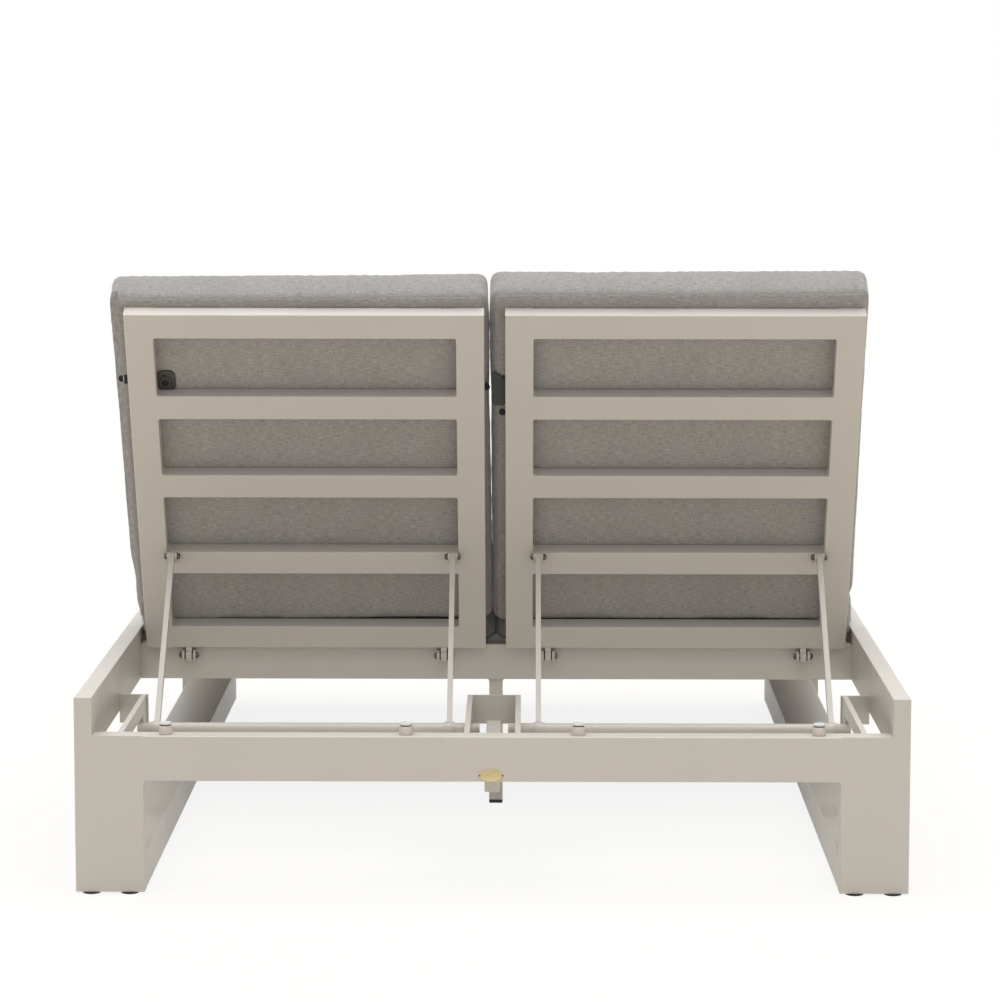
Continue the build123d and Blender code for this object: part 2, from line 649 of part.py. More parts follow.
def cushion(x, y, z):
    """A box cushion with soft edges, sides drawn in between its seams and a crowned top."""
    width = abs(x[1] - x[0])
    length = abs(y[1] - y[0])
    height = z[1] - z[0]
    shoulder = height - CROWN_HEIGHT
    levels = [
        (0, EDGE_SOFTNESS),
        (EDGE_SOFTNESS, 0),
        (shoulder / 2, SIDE_DRAW),
        (shoulder - EDGE_SOFTNESS / 2, 0),
        (shoulder, EDGE_SOFTNESS),
    ]
    for rise, reach in zip(CROWN_RISE_SHARES, CROWN_REACH_SHARES):
        levels.append((shoulder + CROWN_HEIGHT * rise, CROWN_REACH * reach))
    sections = []
    for level, inset in levels:
        corner = CUSHION_CORNER + inset * CORNER_DRAW_SHARE
        section = RectangleRounded(width - 2 * inset, length - 2 * inset, corner)
        sections.append(Pos(0, 0, level) * section)
    body = loft(sections, ruled=True)
    return Pos((x[0] + x[1]) / 2, (y[0] + y[1]) / 2, z[0]) * body


def back_cushion(side):
    """The cushion on a backrest, with shallow grooves where the straps cross its underside."""
    ends_y = (HEAD_Y - CUSHION_OVERHANG, FRAME_FOOT_Y - CUSHION_FOOT)
    top = CUSHION_BOTTOM + CUSHION_THICKNESS
    body = cushion((side * CUSHION_INNER_X, side * CUSHION_OUTER_X), ends_y, (CUSHION_BOTTOM, top))
    for inner_x, outer_x in strap_spans():
        groove_x = (side * (inner_x - STRAP_CLEARANCE), side * (outer_x + STRAP_CLEARANCE))
        half = STRAP_WIDTH / 2 + STRAP_CLEARANCE
        body -= block(groove_x, (STRAP_Y - half, STRAP_Y + half), (DECK_TOP, STRAP_TOP + STRAP_CLEARANCE))
    return raise_up(body)


def seat_cushion(side):
    """The cushion on one seat, from in front of the hinges to the foot end."""
    ends_y = (HINGE_Y + SEAT_CUSHION_START, FOOT_Y)
    top = CUSHION_BOTTOM + CUSHION_THICKNESS
    return cushion((side * CUSHION_INNER_X, side * CUSHION_OUTER_X), ends_y, (CUSHION_BOTTOM, top))


def strap_spans():
    """The ends along X, from the middle outward, of the inner and the outer strap."""
    inner = (FRAME_INNER_X - STRAP_REACH, FRAME_INNER_X + STILE_WIDTH)
    outer = (FRAME_OUTER_X - STILE_WIDTH - BUCKLE_WIDTH, FRAME_OUTER_X + STRAP_REACH)
    return inner, outer


def strap_band(side, span):
    """A flat band of webbing between a stile and the cushion."""
    half = STRAP_WIDTH / 2
    return block((side * span[0], side * span[1]), (STRAP_Y - half, STRAP_Y + half), (DECK_TOP, STRAP_TOP))


def strap_buckle(side):
    """A flat buckle with a round hole, under the end of the outer strap in the top window."""
    start, end = FRAME_OUTER_X - STILE_WIDTH - BUCKLE_WIDTH, FRAME_OUTER_X - STILE_WIDTH - BUCKLE_ROUND / 2
    middle_x = side * (start + end) / 2
    face = RectangleRounded(end - start, BUCKLE_LENGTH, BUCKLE_ROUND) - Circle(BUCKLE_HOLE_RADIUS)
    return Pos(middle_x, STRAP_Y, DECK_TOP - BUCKLE_THICKNESS) * extrude(face, BUCKLE_THICKNESS)


def strap_tail(side):
    """The loose end of the inner strap, hanging beside the stile down to its toggle."""
    inner_x = FRAME_INNER_X - STRAP_REACH
    ends_x = (side * inner_x, side * (inner_x + TAIL_WIDTH))
    tail_end = STRAP_Y + STRAP_WIDTH / 2 + TAIL_LENGTH
    tail = block(ends_x, (STRAP_Y - STRAP_WIDTH / 2, tail_end), (DECK_TOP - STRAP_THICKNESS, DECK_TOP))
    toggle = block(ends_x, (tail_end, tail_end + TOGGLE_LENGTH), (DECK_TOP - TOGGLE_THICKNESS, DECK_TOP))
    return tail + fillet(toggle.edges().filter_by(Axis.Y), EDGE_ROUND)


def cushion_straps(side):
    """The two straps that hold one cushion to its backrest."""
    inner, outer = strap_spans()
    outer_strap = strap_band(side, outer) + strap_buckle(side)
    inner_strap = strap_band(side, inner) + strap_tail(side)
    return raise_up(Compound([outer_strap, inner_strap]))


def frame_parts():
    """The fixed frame, by name."""
    parts = {
        "head_beam": portal_beam(HEAD_Y, BEHIND_HEAD_Y),
        "foot_beam": portal_beam(BEFORE_FOOT_Y, FOOT_Y),
        "hinge_beam": hinge_beam(),
        "center_beam": center_beam(),
        "center_leg": center_leg(),
        "center_leg_cap": center_leg_cap(),
        "ratchet_end_plate_center": center_end_plate(),
        "seat_beam": seat_beam(),
        "rest_bumpers": Compound([bumper(sign * x) for sign in (-1, 1) for x in BUMPER_PLACES]),
    }
    glides = []
    for name, side in SIDES.items():
        parts[f"head_leg_{name}"] = portal_leg(side, HEAD_Y, 1)
        parts[f"foot_leg_{name}"] = portal_leg(side, FOOT_Y, -1)
        parts[f"side_rail_{name}"] = side_rail(side)
        parts[f"floor_runner_{name}"] = floor_runner(side)
        parts[f"ratchet_plate_outer_{name}"] = ratchet_plate(side, OUTER_PLATE_X)
        parts[f"ratchet_plate_inner_{name}"] = ratchet_plate(side, INNER_PLATE_CENTER)
        parts[f"ratchet_end_plate_{name}"] = outer_end_plate(side)
        parts[f"seat_slats_{name}"] = seat_slats(side)
        parts[f"seat_cushion_{name}"] = seat_cushion(side)
        parts[f"hinge_ears_{name}"] = hinge_ears(side)
        parts[f"hinge_bolts_{name}"] = hinge_bolts(side)
        for end_y, inward in ((HEAD_Y, 1), (FOOT_Y, -1)):
            glides += [glide(x, y) for x, y in glide_places(side, end_y, inward)]
    parts["leg_glides"] = Compound(glides)
    return parts


def backrest_parts(name, side):
    """One backrest with its hinge tabs, brackets, cushion and straps, by name."""
    slats = Compound([cross_member(side, index) for index in range(1, WINDOW_COUNT)])
    return {
        f"backrest_stile_outer_{name}": stile(side, True),
        f"backrest_stile_inner_{name}": stile(side, False),
        f"backrest_bottom_rail_{name}": cross_member(side, 0),
        f"backrest_slats_{name}": slats,
        f"backrest_top_rail_{name}": cross_member(side, WINDOW_COUNT),
        f"backrest_knuckles_{name}": knuckles(side),
        f"stand_brackets_{name}": stand_brackets(side),
        f"stand_bolts_{name}": stand_bolts(side),
        f"back_cushion_{name}": back_cushion(side),
        f"cushion_straps_{name}": cushion_straps(side),
    }


def stand_parts(name, side):
    """One folding stand, by name."""
    inner, outer = arm_places(side)
    return {
        f"stand_arm_inner_{name}": stand_arm(inner),
        f"stand_arm_outer_{name}": stand_arm(outer),
        f"stand_crossbar_{name}": stand_crossbar(side),
    }


def main():
    """Builds every part, writes its file and prints the joints' places and turns."""
    parts = frame_parts()
    for name, side in SIDES.items():
        parts.update(backrest_parts(name, side))
        parts.update(stand_parts(name, side))
    os.makedirs("parts", exist_ok=True)
    for name, shape in parts.items():
        export_step(shape, f"parts/{name}.step")
    print("nodes", len(parts))
    print("hinge y, z", HINGE_POINT)
    print("stand pivot y, z", REST_PIVOT)
    print("crossbar y, z", REST_FOOT, "flat", FLAT_FOOT)
    print("stand turn for each degree of backrest", STAND_RATIO, "in all", STAND_RATIO * LEAN_ANGLE)


main()
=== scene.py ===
import json
import math

import bmesh
import bpy
import numpy as np
from bpy.props import FloatProperty, FloatVectorProperty, PointerProperty
from mathutils import Euler, Matrix, Vector, noise
from mathutils.bvhtree import BVHTree
from mathutils.kdtree import KDTree


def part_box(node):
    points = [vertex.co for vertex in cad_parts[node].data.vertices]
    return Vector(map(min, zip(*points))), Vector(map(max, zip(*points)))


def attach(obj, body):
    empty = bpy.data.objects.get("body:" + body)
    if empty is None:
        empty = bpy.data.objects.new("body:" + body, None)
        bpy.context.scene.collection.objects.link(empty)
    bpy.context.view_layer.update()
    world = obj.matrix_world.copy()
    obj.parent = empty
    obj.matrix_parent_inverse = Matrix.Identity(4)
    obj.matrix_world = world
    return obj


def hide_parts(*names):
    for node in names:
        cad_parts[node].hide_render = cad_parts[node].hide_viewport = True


bl_info = {
    "name": "Double chaise lounger",
    "version": (1, 0, 0),
    "blender": (4, 5, 0),
    "location": "3D View > Sidebar > Lounger",
    "description": "Finishes, box cushions and small fittings of a double reclining lounger",
    "category": "Object",
}

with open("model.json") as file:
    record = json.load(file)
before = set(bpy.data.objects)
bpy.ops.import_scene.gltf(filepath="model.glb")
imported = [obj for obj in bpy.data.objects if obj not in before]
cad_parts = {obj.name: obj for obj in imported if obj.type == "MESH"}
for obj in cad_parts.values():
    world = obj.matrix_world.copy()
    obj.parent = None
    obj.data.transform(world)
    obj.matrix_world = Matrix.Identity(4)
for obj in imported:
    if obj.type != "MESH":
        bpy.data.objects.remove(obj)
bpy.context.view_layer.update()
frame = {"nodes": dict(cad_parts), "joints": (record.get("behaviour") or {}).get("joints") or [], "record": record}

# The two sides, each with its way outward along X
OUTWARD = {"left": -1, "right": 1}
MM = 0.001

# Each backrest is modelled lying flat and then turned up about its hinge
JOINTS = {joint["name"]: joint for joint in frame["joints"]}
HINGE = Vector((0, *JOINTS["backrest_left_hinge"]["pos_m"][1:]))
LEAN = math.radians(JOINTS["backrest_left_hinge"]["range_deg"][1])
RAISE = Matrix.Translation(HINGE) @ Matrix.Rotation(-LEAN, 4, "X") @ Matrix.Translation(-HINGE)
LOWER = RAISE.inverted()

# The studio's floor: its width, the size of its blotches and how much of it the camera sees as plain white
FLOOR_SIZE = 60
FLOOR_BLOTCH = 0.7
FLOOR_GLOW = 0.86

# Cushion covers
SEAM_STEP = 4 * MM
WELT_RADIUS = 1.1 * MM
EDGE_SOFTNESS = 15 * MM
SEAM_SINK = 0.3
CORNER_SEGMENTS = 6
STUFFING_PRESSURE = 4.0
STUFFING_FRAMES = 20
PIN_REACH = 7 * MM
SIDE_DRAW = 1.5 * MM
REST_GAP = 0.5 * MM
PUCKER_REACH = 26 * MM
PUCKER_STEP = 23 * MM
PUCKER_HEIGHT = 0.4 * MM
DIMPLE_REACH = 5 * MM
DIMPLE_DEPTH = 2.2 * MM
WAVE_HEIGHT = 0.9 * MM
FOOT_SLANT = 24 * MM
HEAD_SLANT = 26 * MM
HEAD_DROP = 12 * MM
WINDOW_BULGE = 2.5 * MM
SIDE_GAP = 1 * MM
RAIL_CLEARANCE = 9 * MM

# A back cushion's outer side narrows to its foot: over what length, how far, from what share on,
# and where along X
FOOT_NARROWS = {"left": 130 * MM, "right": 60 * MM}
FOOT_NARROWING = 7 * MM
FOOT_RAMP = 0.6
SIDE_ZONE = (620 * MM, 700 * MM)

# How far a cover reaches past its CAD cushion at its low and at its high corner; below zero it falls short
BACK_GROWTH = (Vector((9 * MM, 10 * MM, 0)), Vector((9 * MM, 0, 0)))
SEAT_GROWTH = (Vector((4 * MM, 0, 0)), Vector((14 * MM, -4 * MM, 0)))
SEAT_VOXEL_SHARE = 1.25
CUSHION_SEEDS = {"back": 3, "seat": 8}

# How far each back cushion lies aside and towards its top, how far it is turned, and how much longer it is
BACK_LIES = {"left": (-7 * MM, -1.5 * MM, -0.5, 1.009), "right": (-11 * MM, 8 * MM, -0.3, 1.021)}

# Bolts, each given as half its grip, the radius of its shaft, and the radius and height of its head
HINGE_BOLT = (13.5 * MM, 4 * MM, 6.5 * MM, 6 * MM)
STAND_BOLT = (9.5 * MM, 3 * MM, 6.2 * MM, 6.5 * MM)
SOCKET_SHARE = 0.5

# Hinge knuckles: the radius of the barrel, half its width, half the room between the ears,
# the root on the rail, and the dark rings that paint the shade in the gaps beside the knuckle
BARREL_RADIUS = 11 * MM
BARREL_HALF = 6 * MM
EARS_HALF = 8.2 * MM
ROOT_HEIGHT = 16 * MM
GAP_SHADE_RADIUS = 9 * MM

# Openings between the members of a backrest
WINDOW_COUNT = 4

# Glides under the legs
GLIDE_RADIUS = 16.5 * MM
GLIDE_SPACING = 69 * MM
GLIDE_OUTWARD = 9 * MM

# Bumpers on the head beam: the radius, and the heights of the groove and of the white pad; the neck in the groove
# is black, as painted shade
BUMPER_RADIUS = 12 * MM
BUMPER_GROOVE = (2.5 * MM, 2.2 * MM)
BUMPER_PAD = 4 * MM

# Ground welds fill the notch that a tube's rounded edge leaves where another tube's end meets it
WELD_WIDTH = 3 * MM
WELD_DEPTH = 2 * MM
WELD_RISE = 0.02 * MM
COLLAR_REACH = 9 * MM
COLLAR_RISE = 3.2 * MM

# Straps behind the stiles, and the plastic fittings at their ends
STRAP_UP = 606 * MM
STRAP_WIDTH = 20 * MM
STRAP_THICKNESS = 1.4 * MM
BUCKLE_SIZE = (36 * MM, 46 * MM, 5 * MM)
BUCKLE_HOLE = 7.2 * MM
FLAP_SIZE = (25 * MM, 69 * MM, 3 * MM)
FLAP_SLOPE = 0.7
KNOB_RADIUS = 6.5 * MM
KEEPER_WIDTH = 14 * MM

# Places of the fittings, from an edge of the cushion or of its window, from the strap's middle
# and from the deck
BUCKLE_PLACE = Vector((17 * MM, 2 * MM, 0))
HOLE_PLACE = Vector((-2 * MM, 1 * MM, 0))
SLOT_PLACE = Vector((-3 * MM, -15 * MM, 0))
OUTER_KNOB_PLACE = Vector((-6 * MM, 12 * MM, 27 * MM))
INNER_KNOB_PLACE = Vector((-4 * MM, 18 * MM, 8 * MM))
FLAP_PLACE = Vector((-4.5 * MM, 22.2 * MM, 0))
FLAP_KNOB_PLACE = Vector((6.8 * MM, 14.8 * MM, 2 * MM))

# Bare oval plaque on the head beam
PLAQUE_SIZE = (44 * MM, 23 * MM, 1.6 * MM)
PLAQUE_CENTER = (-1.7 * MM, 218.8 * MM)
PLAQUE_RIM = 2.2 * MM
RIVET_RADIUS = 1.7 * MM
RIVET_INSET = 1.5 * MM


def srgb(text):
    """Turns a hex colour as seen on a screen into the linear colour that a shader takes."""
    parts = [int(text[place:place + 2], 16) / 255 for place in (1, 3, 5)]
    return [part / 12.92 if part <= 0.04045 else ((part + 0.055) / 1.055) ** 2.4 for part in parts]


def rgba(colour):
    """A linear colour as a shader socket takes it."""
    return (*colour[:3], 1.0)


def settings():
    """The sizes and colours that a user may change."""
    return bpy.context.scene.lounger


def add_node(tree, kind, inputs=None, **options):
    """Adds a node with its options, and sets or links its inputs."""
    node = tree.nodes.new(kind)
    for name, value in options.items():
        setattr(node, name, value)
    for name, value in (inputs or {}).items():
        if isinstance(value, bpy.types.NodeSocket):
            tree.links.new(value, node.inputs[name])
        else:
            node.inputs[name].default_value = value
    return node


def new_material(name):
    """An empty material with its tree and its output."""
    material = bpy.data.materials.new(name)
    material.use_nodes = True
    material.node_tree.nodes.clear()
    return material, material.node_tree


def finish_material(tree, sockets, height=None, depth=0.1 * MM, strength=0.5):
    """Adds the surface shader, with a bump where a height is given, and joins it to the output."""
    if height is not None:
        bump = add_node(tree, "ShaderNodeBump", {"Height": height, "Distance": depth, "Strength": strength})
        sockets = {**sockets, "Normal": bump.outputs["Normal"]}
    shader = add_node(tree, "ShaderNodeBsdfPrincipled", sockets)
    add_node(tree, "ShaderNodeOutputMaterial", {"Surface": shader.outputs["BSDF"]})


def maths(tree, operation, *values):
    """The result of a maths node on values or sockets."""
    return add_node(tree, "ShaderNodeMath", dict(enumerate(values)), operation=operation).outputs["Value"]


def object_place(tree):
    """Each point's place in its object's own coordinates, in metres."""
    return add_node(tree, "ShaderNodeTexCoord").outputs["Object"]


def seen_directly(tree):
    """One for rays of the camera, through glass and off mirrors, and zero for scattered light."""
    sight = add_node(tree, "ShaderNodeLightPath").outputs
    direct = maths(tree, "MAXIMUM", sight["Is Camera Ray"], sight["Is Transmission Ray"])
    return maths(tree, "MAXIMUM", direct, sight["Is Glossy Ray"])


def drawn_noise(tree, vector, scale, roughness=0.5):
    """Noise with a scale of its own along each axis, so that it is drawn out into streaks."""
    along = add_node(tree, "ShaderNodeMapping", {"Vector": vector, "Scale": scale}).outputs["Vector"]
    inputs = {"Vector": along, "Scale": 1.0, "Detail": 2.0, "Roughness": roughness}
    return add_node(tree, "ShaderNodeTexNoise", inputs).outputs["Fac"]


def blotches(tree, vector, size, detail=2.0):
    """Soft noise whose blotches are about the given size."""
    inputs = {"Vector": vector, "Scale": 1 / size, "Detail": detail, "Roughness": 0.5}
    return add_node(tree, "ShaderNodeTexNoise", inputs).outputs["Fac"]


def shade_between(tree, factor, low, high):
    """A colour between two, chosen by a factor."""
    mix = add_node(tree, "ShaderNodeMix", {"Factor": factor}, data_type="RGBA")
    mix.inputs["A"].default_value = rgba(low)
    mix.inputs["B"].default_value = rgba(high)
    return mix.outputs["Result"]


def spread(tree, value, low, high):
    """A factor from zero to one, stretched to run between two values."""
    inputs = {"Value": value, "From Min": 0.3, "From Max": 0.7, "To Min": low, "To Max": high}
    return add_node(tree, "ShaderNodeMapRange", inputs).outputs["Result"]


def powder_coat():
    """Polyester powder sprayed and baked on aluminium: an even satin skin with faint orange peel."""
    material, tree = new_material("baked_powder_coat_on_aluminium")
    place = object_place(tree)
    colour = Vector(settings().colours.frame)
    cloud = blotches(tree, place, 160 * MM)
    tint = shade_between(tree, cloud, colour * 0.965, colour * 1.02)
    # The peel's real dimples are about 1 mm wide and are drawn at 3 mm so that they show
    peel = blotches(tree, place, 3 * MM, 1.0)
    roughness = spread(tree, blotches(tree, place, 40 * MM), 0.40, 0.50)
    sockets = {"Base Color": tint, "Roughness": roughness, "Coat Weight": 0.08, "Coat Roughness": 0.35}
    finish_material(tree, sockets, peel, 0.05 * MM, 0.35)
    return material


def melange_cloth():
    """Outdoor olefin cloth, plain woven of slubby two-tone yarns: warm grey with short streaks."""
    material, tree = new_material("melange_cushion_cloth")
    flat = add_node(tree, "ShaderNodeUVMap", uv_map="cloth").outputs["UV"]
    colours = settings().colours
    # Yarns are about 0.8 mm thick and are drawn 1.3 mm thick so that they show, with slubs about 16 mm long
    yarn, slub = 1.3 * MM, 16 * MM
    warp, weft = (
        drawn_noise(tree, flat, scale, 0.55) for scale in ((1 / slub, 1 / yarn, 1), (1 / yarn, 1 / slub, 1))
    )
    woven = maths(tree, "MULTIPLY_ADD", warp, 0.6, maths(tree, "MULTIPLY", weft, 0.4))
    ramp = add_node(tree, "ShaderNodeValToRGB", {"Fac": woven})
    stops = ramp.color_ramp.elements
    stops[0].position = 0.38
    stops[0].color = rgba(colours.cloth_dark)
    stops[1].position = 0.66
    stops[1].color = rgba(colours.cloth_light)
    stops.new(0.5).color = rgba(colours.cloth)
    # Dye lots of the yarns drift between a warmer and a cooler grey over a hand's breadth
    drift = blotches(tree, flat, 70 * MM)
    cast = shade_between(tree, drift, (1.025, 1.0, 0.98), (0.975, 1.0, 1.02))
    tinted = add_node(
        tree, "ShaderNodeVectorMath", {0: ramp.outputs["Color"], 1: cast}, operation="MULTIPLY"
    ).outputs["Vector"]
    fade = spread(tree, blotches(tree, flat, 110 * MM), 0.95, 1.03)
    cloth = add_node(tree, "ShaderNodeVectorMath", {0: tinted, "Scale": fade}, operation="SCALE")
    threads = []
    for axis in ("X", "Y"):
        part = add_node(tree, "ShaderNodeSeparateXYZ", {"Vector": flat}).outputs[axis]
        threads.append(maths(tree, "SINE", maths(tree, "MULTIPLY", part, math.tau / (2 * yarn))))
    height = maths(tree, "MULTIPLY_ADD", maths(tree, "MULTIPLY", *threads), 0.3, woven)
    sockets = {
        "Base Color": cloth.outputs["Vector"],
        "Roughness": 0.95,
        "Specular IOR Level": 0.2,
        "Sheen Weight": 0.5,
        "Sheen Roughness": 0.4,
    }
    finish_material(tree, sockets, height, 0.4 * MM, 0.6)
    return material


def sewn_welt():
    """The cover's own cloth in a narrow sewn edge: the same yarns, a little darker than the cover as painted shade
    along the seam.
    """
    material, tree = new_material("sewn_cloth_welt")
    place = object_place(tree)
    colours = settings().colours
    flecks = spread(tree, blotches(tree, place, 3 * MM), 0.0, 1.0)
    # Only the dark and the middle yarn, so that the welt reads darker: painted shade along the seam
    tint = shade_between(tree, flecks, Vector(colours.cloth_dark), Vector(colours.cloth))
    sockets = {"Base Color": tint, "Roughness": 0.95, "Sheen Weight": 0.15}
    finish_material(tree, sockets, flecks, 0.3 * MM, 0.6)
    return material


def webbing(name, dark, light):
    """Polypropylene webbing, woven in ribs across its width: dull, with raised ribs 2 mm apart."""
    material, tree = new_material(name)
    place = object_place(tree)
    side = add_node(tree, "ShaderNodeSeparateXYZ", {"Vector": place}).outputs["X"]
    ribs = maths(tree, "SINE", maths(tree, "MULTIPLY", side, math.tau / (2 * MM)))
    flecks = spread(tree, blotches(tree, place, 2 * MM), 0.0, 1.0)
    tint = shade_between(tree, flecks, srgb(dark), srgb(light))
    finish_material(tree, {"Base Color": tint, "Roughness": 0.8, "Sheen Weight": 0.1}, ribs, 0.3 * MM, 0.6)
    return material


def moulded_acetal():
    """Acetal moulded in a fine-grained tool: black with a low, even gloss."""
    material, tree = new_material("moulded_black_acetal")
    place = object_place(tree)
    grain = blotches(tree, place, 0.8 * MM, 1.0)
    tint = shade_between(tree, blotches(tree, place, 12 * MM), srgb("#32312E"), srgb("#42403D"))
    roughness = spread(tree, blotches(tree, place, 6 * MM), 0.38, 0.52)
    finish_material(tree, {"Base Color": tint, "Roughness": roughness, "IOR": 1.48}, grain, 0.05 * MM, 0.4)
    return material


def moulded_rubber():
    """Rubber moulded and lightly scuffed by the floor: near black and matt, greyer where it is worn."""
    material, tree = new_material("moulded_black_rubber")
    place = object_place(tree)
    worn = spread(tree, blotches(tree, place, 9 * MM, 4.0), 0.0, 1.0)
    tint = shade_between(tree, worn, srgb("#0D0C0C"), srgb("#1C1B1A"))
    grain = blotches(tree, place, 1.2 * MM, 2.0)
    finish_material(tree, {"Base Color": tint, "Roughness": 0.75, "IOR": 1.52}, grain, 0.1 * MM, 0.5)
    return material


def blackened_steel():
    """Steel turned, blackened and oiled: dark brown-grey metal with fine turning marks."""
    material, tree = new_material("blackened_steel")
    place = object_place(tree)
    marks = blotches(tree, place, 0.6 * MM, 3.0)
    cloud = spread(tree, blotches(tree, place, 4 * MM), 0.0, 1.0)
    tint = shade_between(tree, cloud, srgb("#4A4743"), srgb("#6B6761"))
    roughness = spread(tree, marks, 0.30, 0.46)
    sockets = {"Base Color": tint, "Metallic": 1.0, "Roughness": roughness}
    finish_material(tree, sockets, marks, 0.03 * MM, 0.4)
    return material


def milky_nylon(name, low, high):
    """Nylon moulded in a polished tool: milky and softly glossy, with light sinking a little into it."""
    material, tree = new_material(name)
    place = object_place(tree)
    cloud = blotches(tree, place, 7 * MM)
    tint = shade_between(tree, cloud, srgb(low), srgb(high))
    sockets = {
        "Base Color": tint, "Roughness": 0.4, "IOR": 1.53,
        "Subsurface Weight": 0.2, "Subsurface Scale": 4 * MM,
    }
    finish_material(tree, sockets, cloud, 0.05 * MM, 0.2)
    return material


def brushed_brass():
    """Brass sheet, stamped, brushed lengthwise and lacquered: warm gold with fine lines along it."""
    material, tree = new_material("brushed_lacquered_brass")
    place = object_place(tree)
    # Brush lines are about 0.1 mm apart and are drawn 0.5 mm apart so that they show
    scale = (1 / (16 * MM), 1 / (0.5 * MM), 1 / (0.5 * MM))
    lines = drawn_noise(tree, place, scale)
    tint = shade_between(tree, spread(tree, lines, 0.0, 1.0), srgb("#BBA77B"), srgb("#CCBB8F"))
    sockets = {
        "Base Color": tint,
        "Metallic": 1.0,
        "Roughness": spread(tree, lines, 0.26, 0.42),
        "Coat Weight": 0.4,
        "Coat Roughness": 0.12,
    }
    finish_material(tree, sockets, lines, 0.03 * MM, 0.4)
    return material


def deselect_all():
    """Leaves no object selected, so that an operator works on the new piece alone."""
    if bpy.context.object and bpy.context.object.mode != "OBJECT":
        bpy.ops.object.mode_set(mode="OBJECT")
    bpy.ops.object.select_all(action="DESELECT")


def make_active(obj):
    """Selects one object alone."""
    deselect_all()
    obj.select_set(True)
    bpy.context.view_layer.objects.active = obj


def settle(obj):
    """Puts an object's place, turn and size into its mesh, so that it sits at the origin."""
    make_active(obj)
    bpy.ops.object.transform_apply(location=True, rotation=True, scale=True)
    return obj


def add_block(name, low, high):
    """A block between two corners, ready to be shaped in edit mode."""
    low, high = Vector(low), Vector(high)
    deselect_all()
    bpy.ops.mesh.primitive_cube_add(size=1, location=(low + high) / 2)
    obj = bpy.context.object
    obj.name = obj.data.name = name
    obj.scale = high - low
    return settle(obj)


def add_disc(name, radius, place, sides=32):
    """A filled disc, ready to be extruded and inset in edit mode."""
    deselect_all()
    bpy.ops.mesh.primitive_circle_add(vertices=sides, radius=radius, fill_type="NGON", location=place)
    obj = bpy.context.object
    obj.name = obj.data.name = name
    return settle(obj)


def select_where(obj, kind, test):
    """In edit mode, selects the faces, edges or vertices that pass a test, and nothing else."""
    bpy.ops.mesh.select_all(action="DESELECT")
    bpy.ops.mesh.select_mode(type={"verts": "VERT", "edges": "EDGE", "faces": "FACE"}[kind])
    mesh = bmesh.from_edit_mesh(obj.data)
    for part in getattr(mesh, kind):
        if test(part):
            part.select_set(True)
    mesh.select_flush_mode()
    bmesh.update_edit_mesh(obj.data)


def edge_along(edge, axis):
    """Whether an edge runs along an axis, given by its number."""
    run = edge.verts[1].co - edge.verts[0].co
    return abs(run[axis]) > 0.99 * run.length


def apply_modifier(obj, kind, **options):
    """Adds a modifier with its options and applies it."""
    make_active(obj)
    modifier = obj.modifiers.new(kind.title(), kind)
    for name, value in options.items():
        setattr(modifier, name, value)
    bpy.ops.object.modifier_apply(modifier=modifier.name)


def smooth(obj, degrees=35):
    """Smooth shading that keeps the sharper edges."""
    make_active(obj)
    bpy.ops.object.shade_smooth_by_angle(angle=math.radians(degrees))


def dress(obj, material, body, replaced=()):
    """Gives a piece its material and its body, and hides the nodes that it stands for."""
    obj.data.materials.clear()
    obj.data.materials.append(material)
    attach(obj, body)
    if replaced:
        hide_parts(*replaced)
    return obj


def join(name, objects):
    """Joins several objects into one piece."""
    deselect_all()
    for obj in objects:
        obj.select_set(True)
    bpy.context.view_layer.objects.active = objects[0]
    bpy.ops.object.join()
    objects[0].name = objects[0].data.name = name
    return objects[0]


def soften(obj, width, segments=2):
    """Rounds the sharper edges."""
    apply_modifier(obj, "BEVEL", width=width, segments=segments, limit_method="ANGLE")


def face_outward():
    """In edit mode, turns every face outward, and then leaves that mode."""
    bpy.ops.mesh.select_all(action="SELECT")
    bpy.ops.mesh.normals_make_consistent(inside=False)
    bpy.ops.object.mode_set(mode="OBJECT")


def turned(name, profile, sides=32):
    """A piece turned about Z, closed at both ends, through radii and heights given from its bottom up."""
    (radius, height), *steps = profile
    obj = add_disc(name, radius, (0, 0, height), sides=sides)
    bpy.ops.object.mode_set(mode="EDIT")
    bpy.ops.mesh.select_all(action="SELECT")
    for next_radius, next_height in steps:
        bpy.ops.mesh.extrude_region_move(TRANSFORM_OT_translate={"value": (0, 0, next_height - height)})
        share = next_radius / radius
        bpy.ops.transform.resize(value=(share, share, 1), center_override=(0, 0, next_height))
        radius, height = next_radius, next_height
    face_outward()
    return obj


def cut_away(obj, cutter):
    """Cuts one object out of another, and removes it."""
    apply_modifier(obj, "BOOLEAN", object=cutter, operation="DIFFERENCE", solver="EXACT")
    bpy.data.objects.remove(cutter)


def slab(name, low, high, corner, softness):
    """A flat plate with rounded corners and softened edges, lying level."""
    obj = add_block(name, low, high)
    bpy.ops.object.mode_set(mode="EDIT")
    select_where(obj, "edges", lambda edge: edge_along(edge, 2))
    bpy.ops.mesh.bevel(offset=corner, segments=CORNER_SEGMENTS, affect="EDGES")
    bpy.ops.object.mode_set(mode="OBJECT")
    soften(obj, softness, 3)
    return obj


def places_of(obj):
    """A mesh's vertices as an array."""
    places = np.empty(len(obj.data.vertices) * 3)
    obj.data.vertices.foreach_get("co", places)
    return places.reshape(-1, 3)


def set_places(obj, places):
    """Moves a mesh's vertices."""
    obj.data.vertices.foreach_set("co", places.ravel())
    obj.data.update()


def normals_of(obj):
    """A mesh's vertex normals as an array."""
    normals = np.empty(len(obj.data.vertices) * 3)
    obj.data.vertex_normals.foreach_get("vector", normals)
    return normals.reshape(-1, 3)


def flat_box(node):
    """The lowest and highest corner of a backrest's node as it lies when the backrest is flat."""
    places = np.array([LOWER @ vertex.co for vertex in frame["nodes"][node].data.vertices])
    return Vector(places.min(axis=0)), Vector(places.max(axis=0))


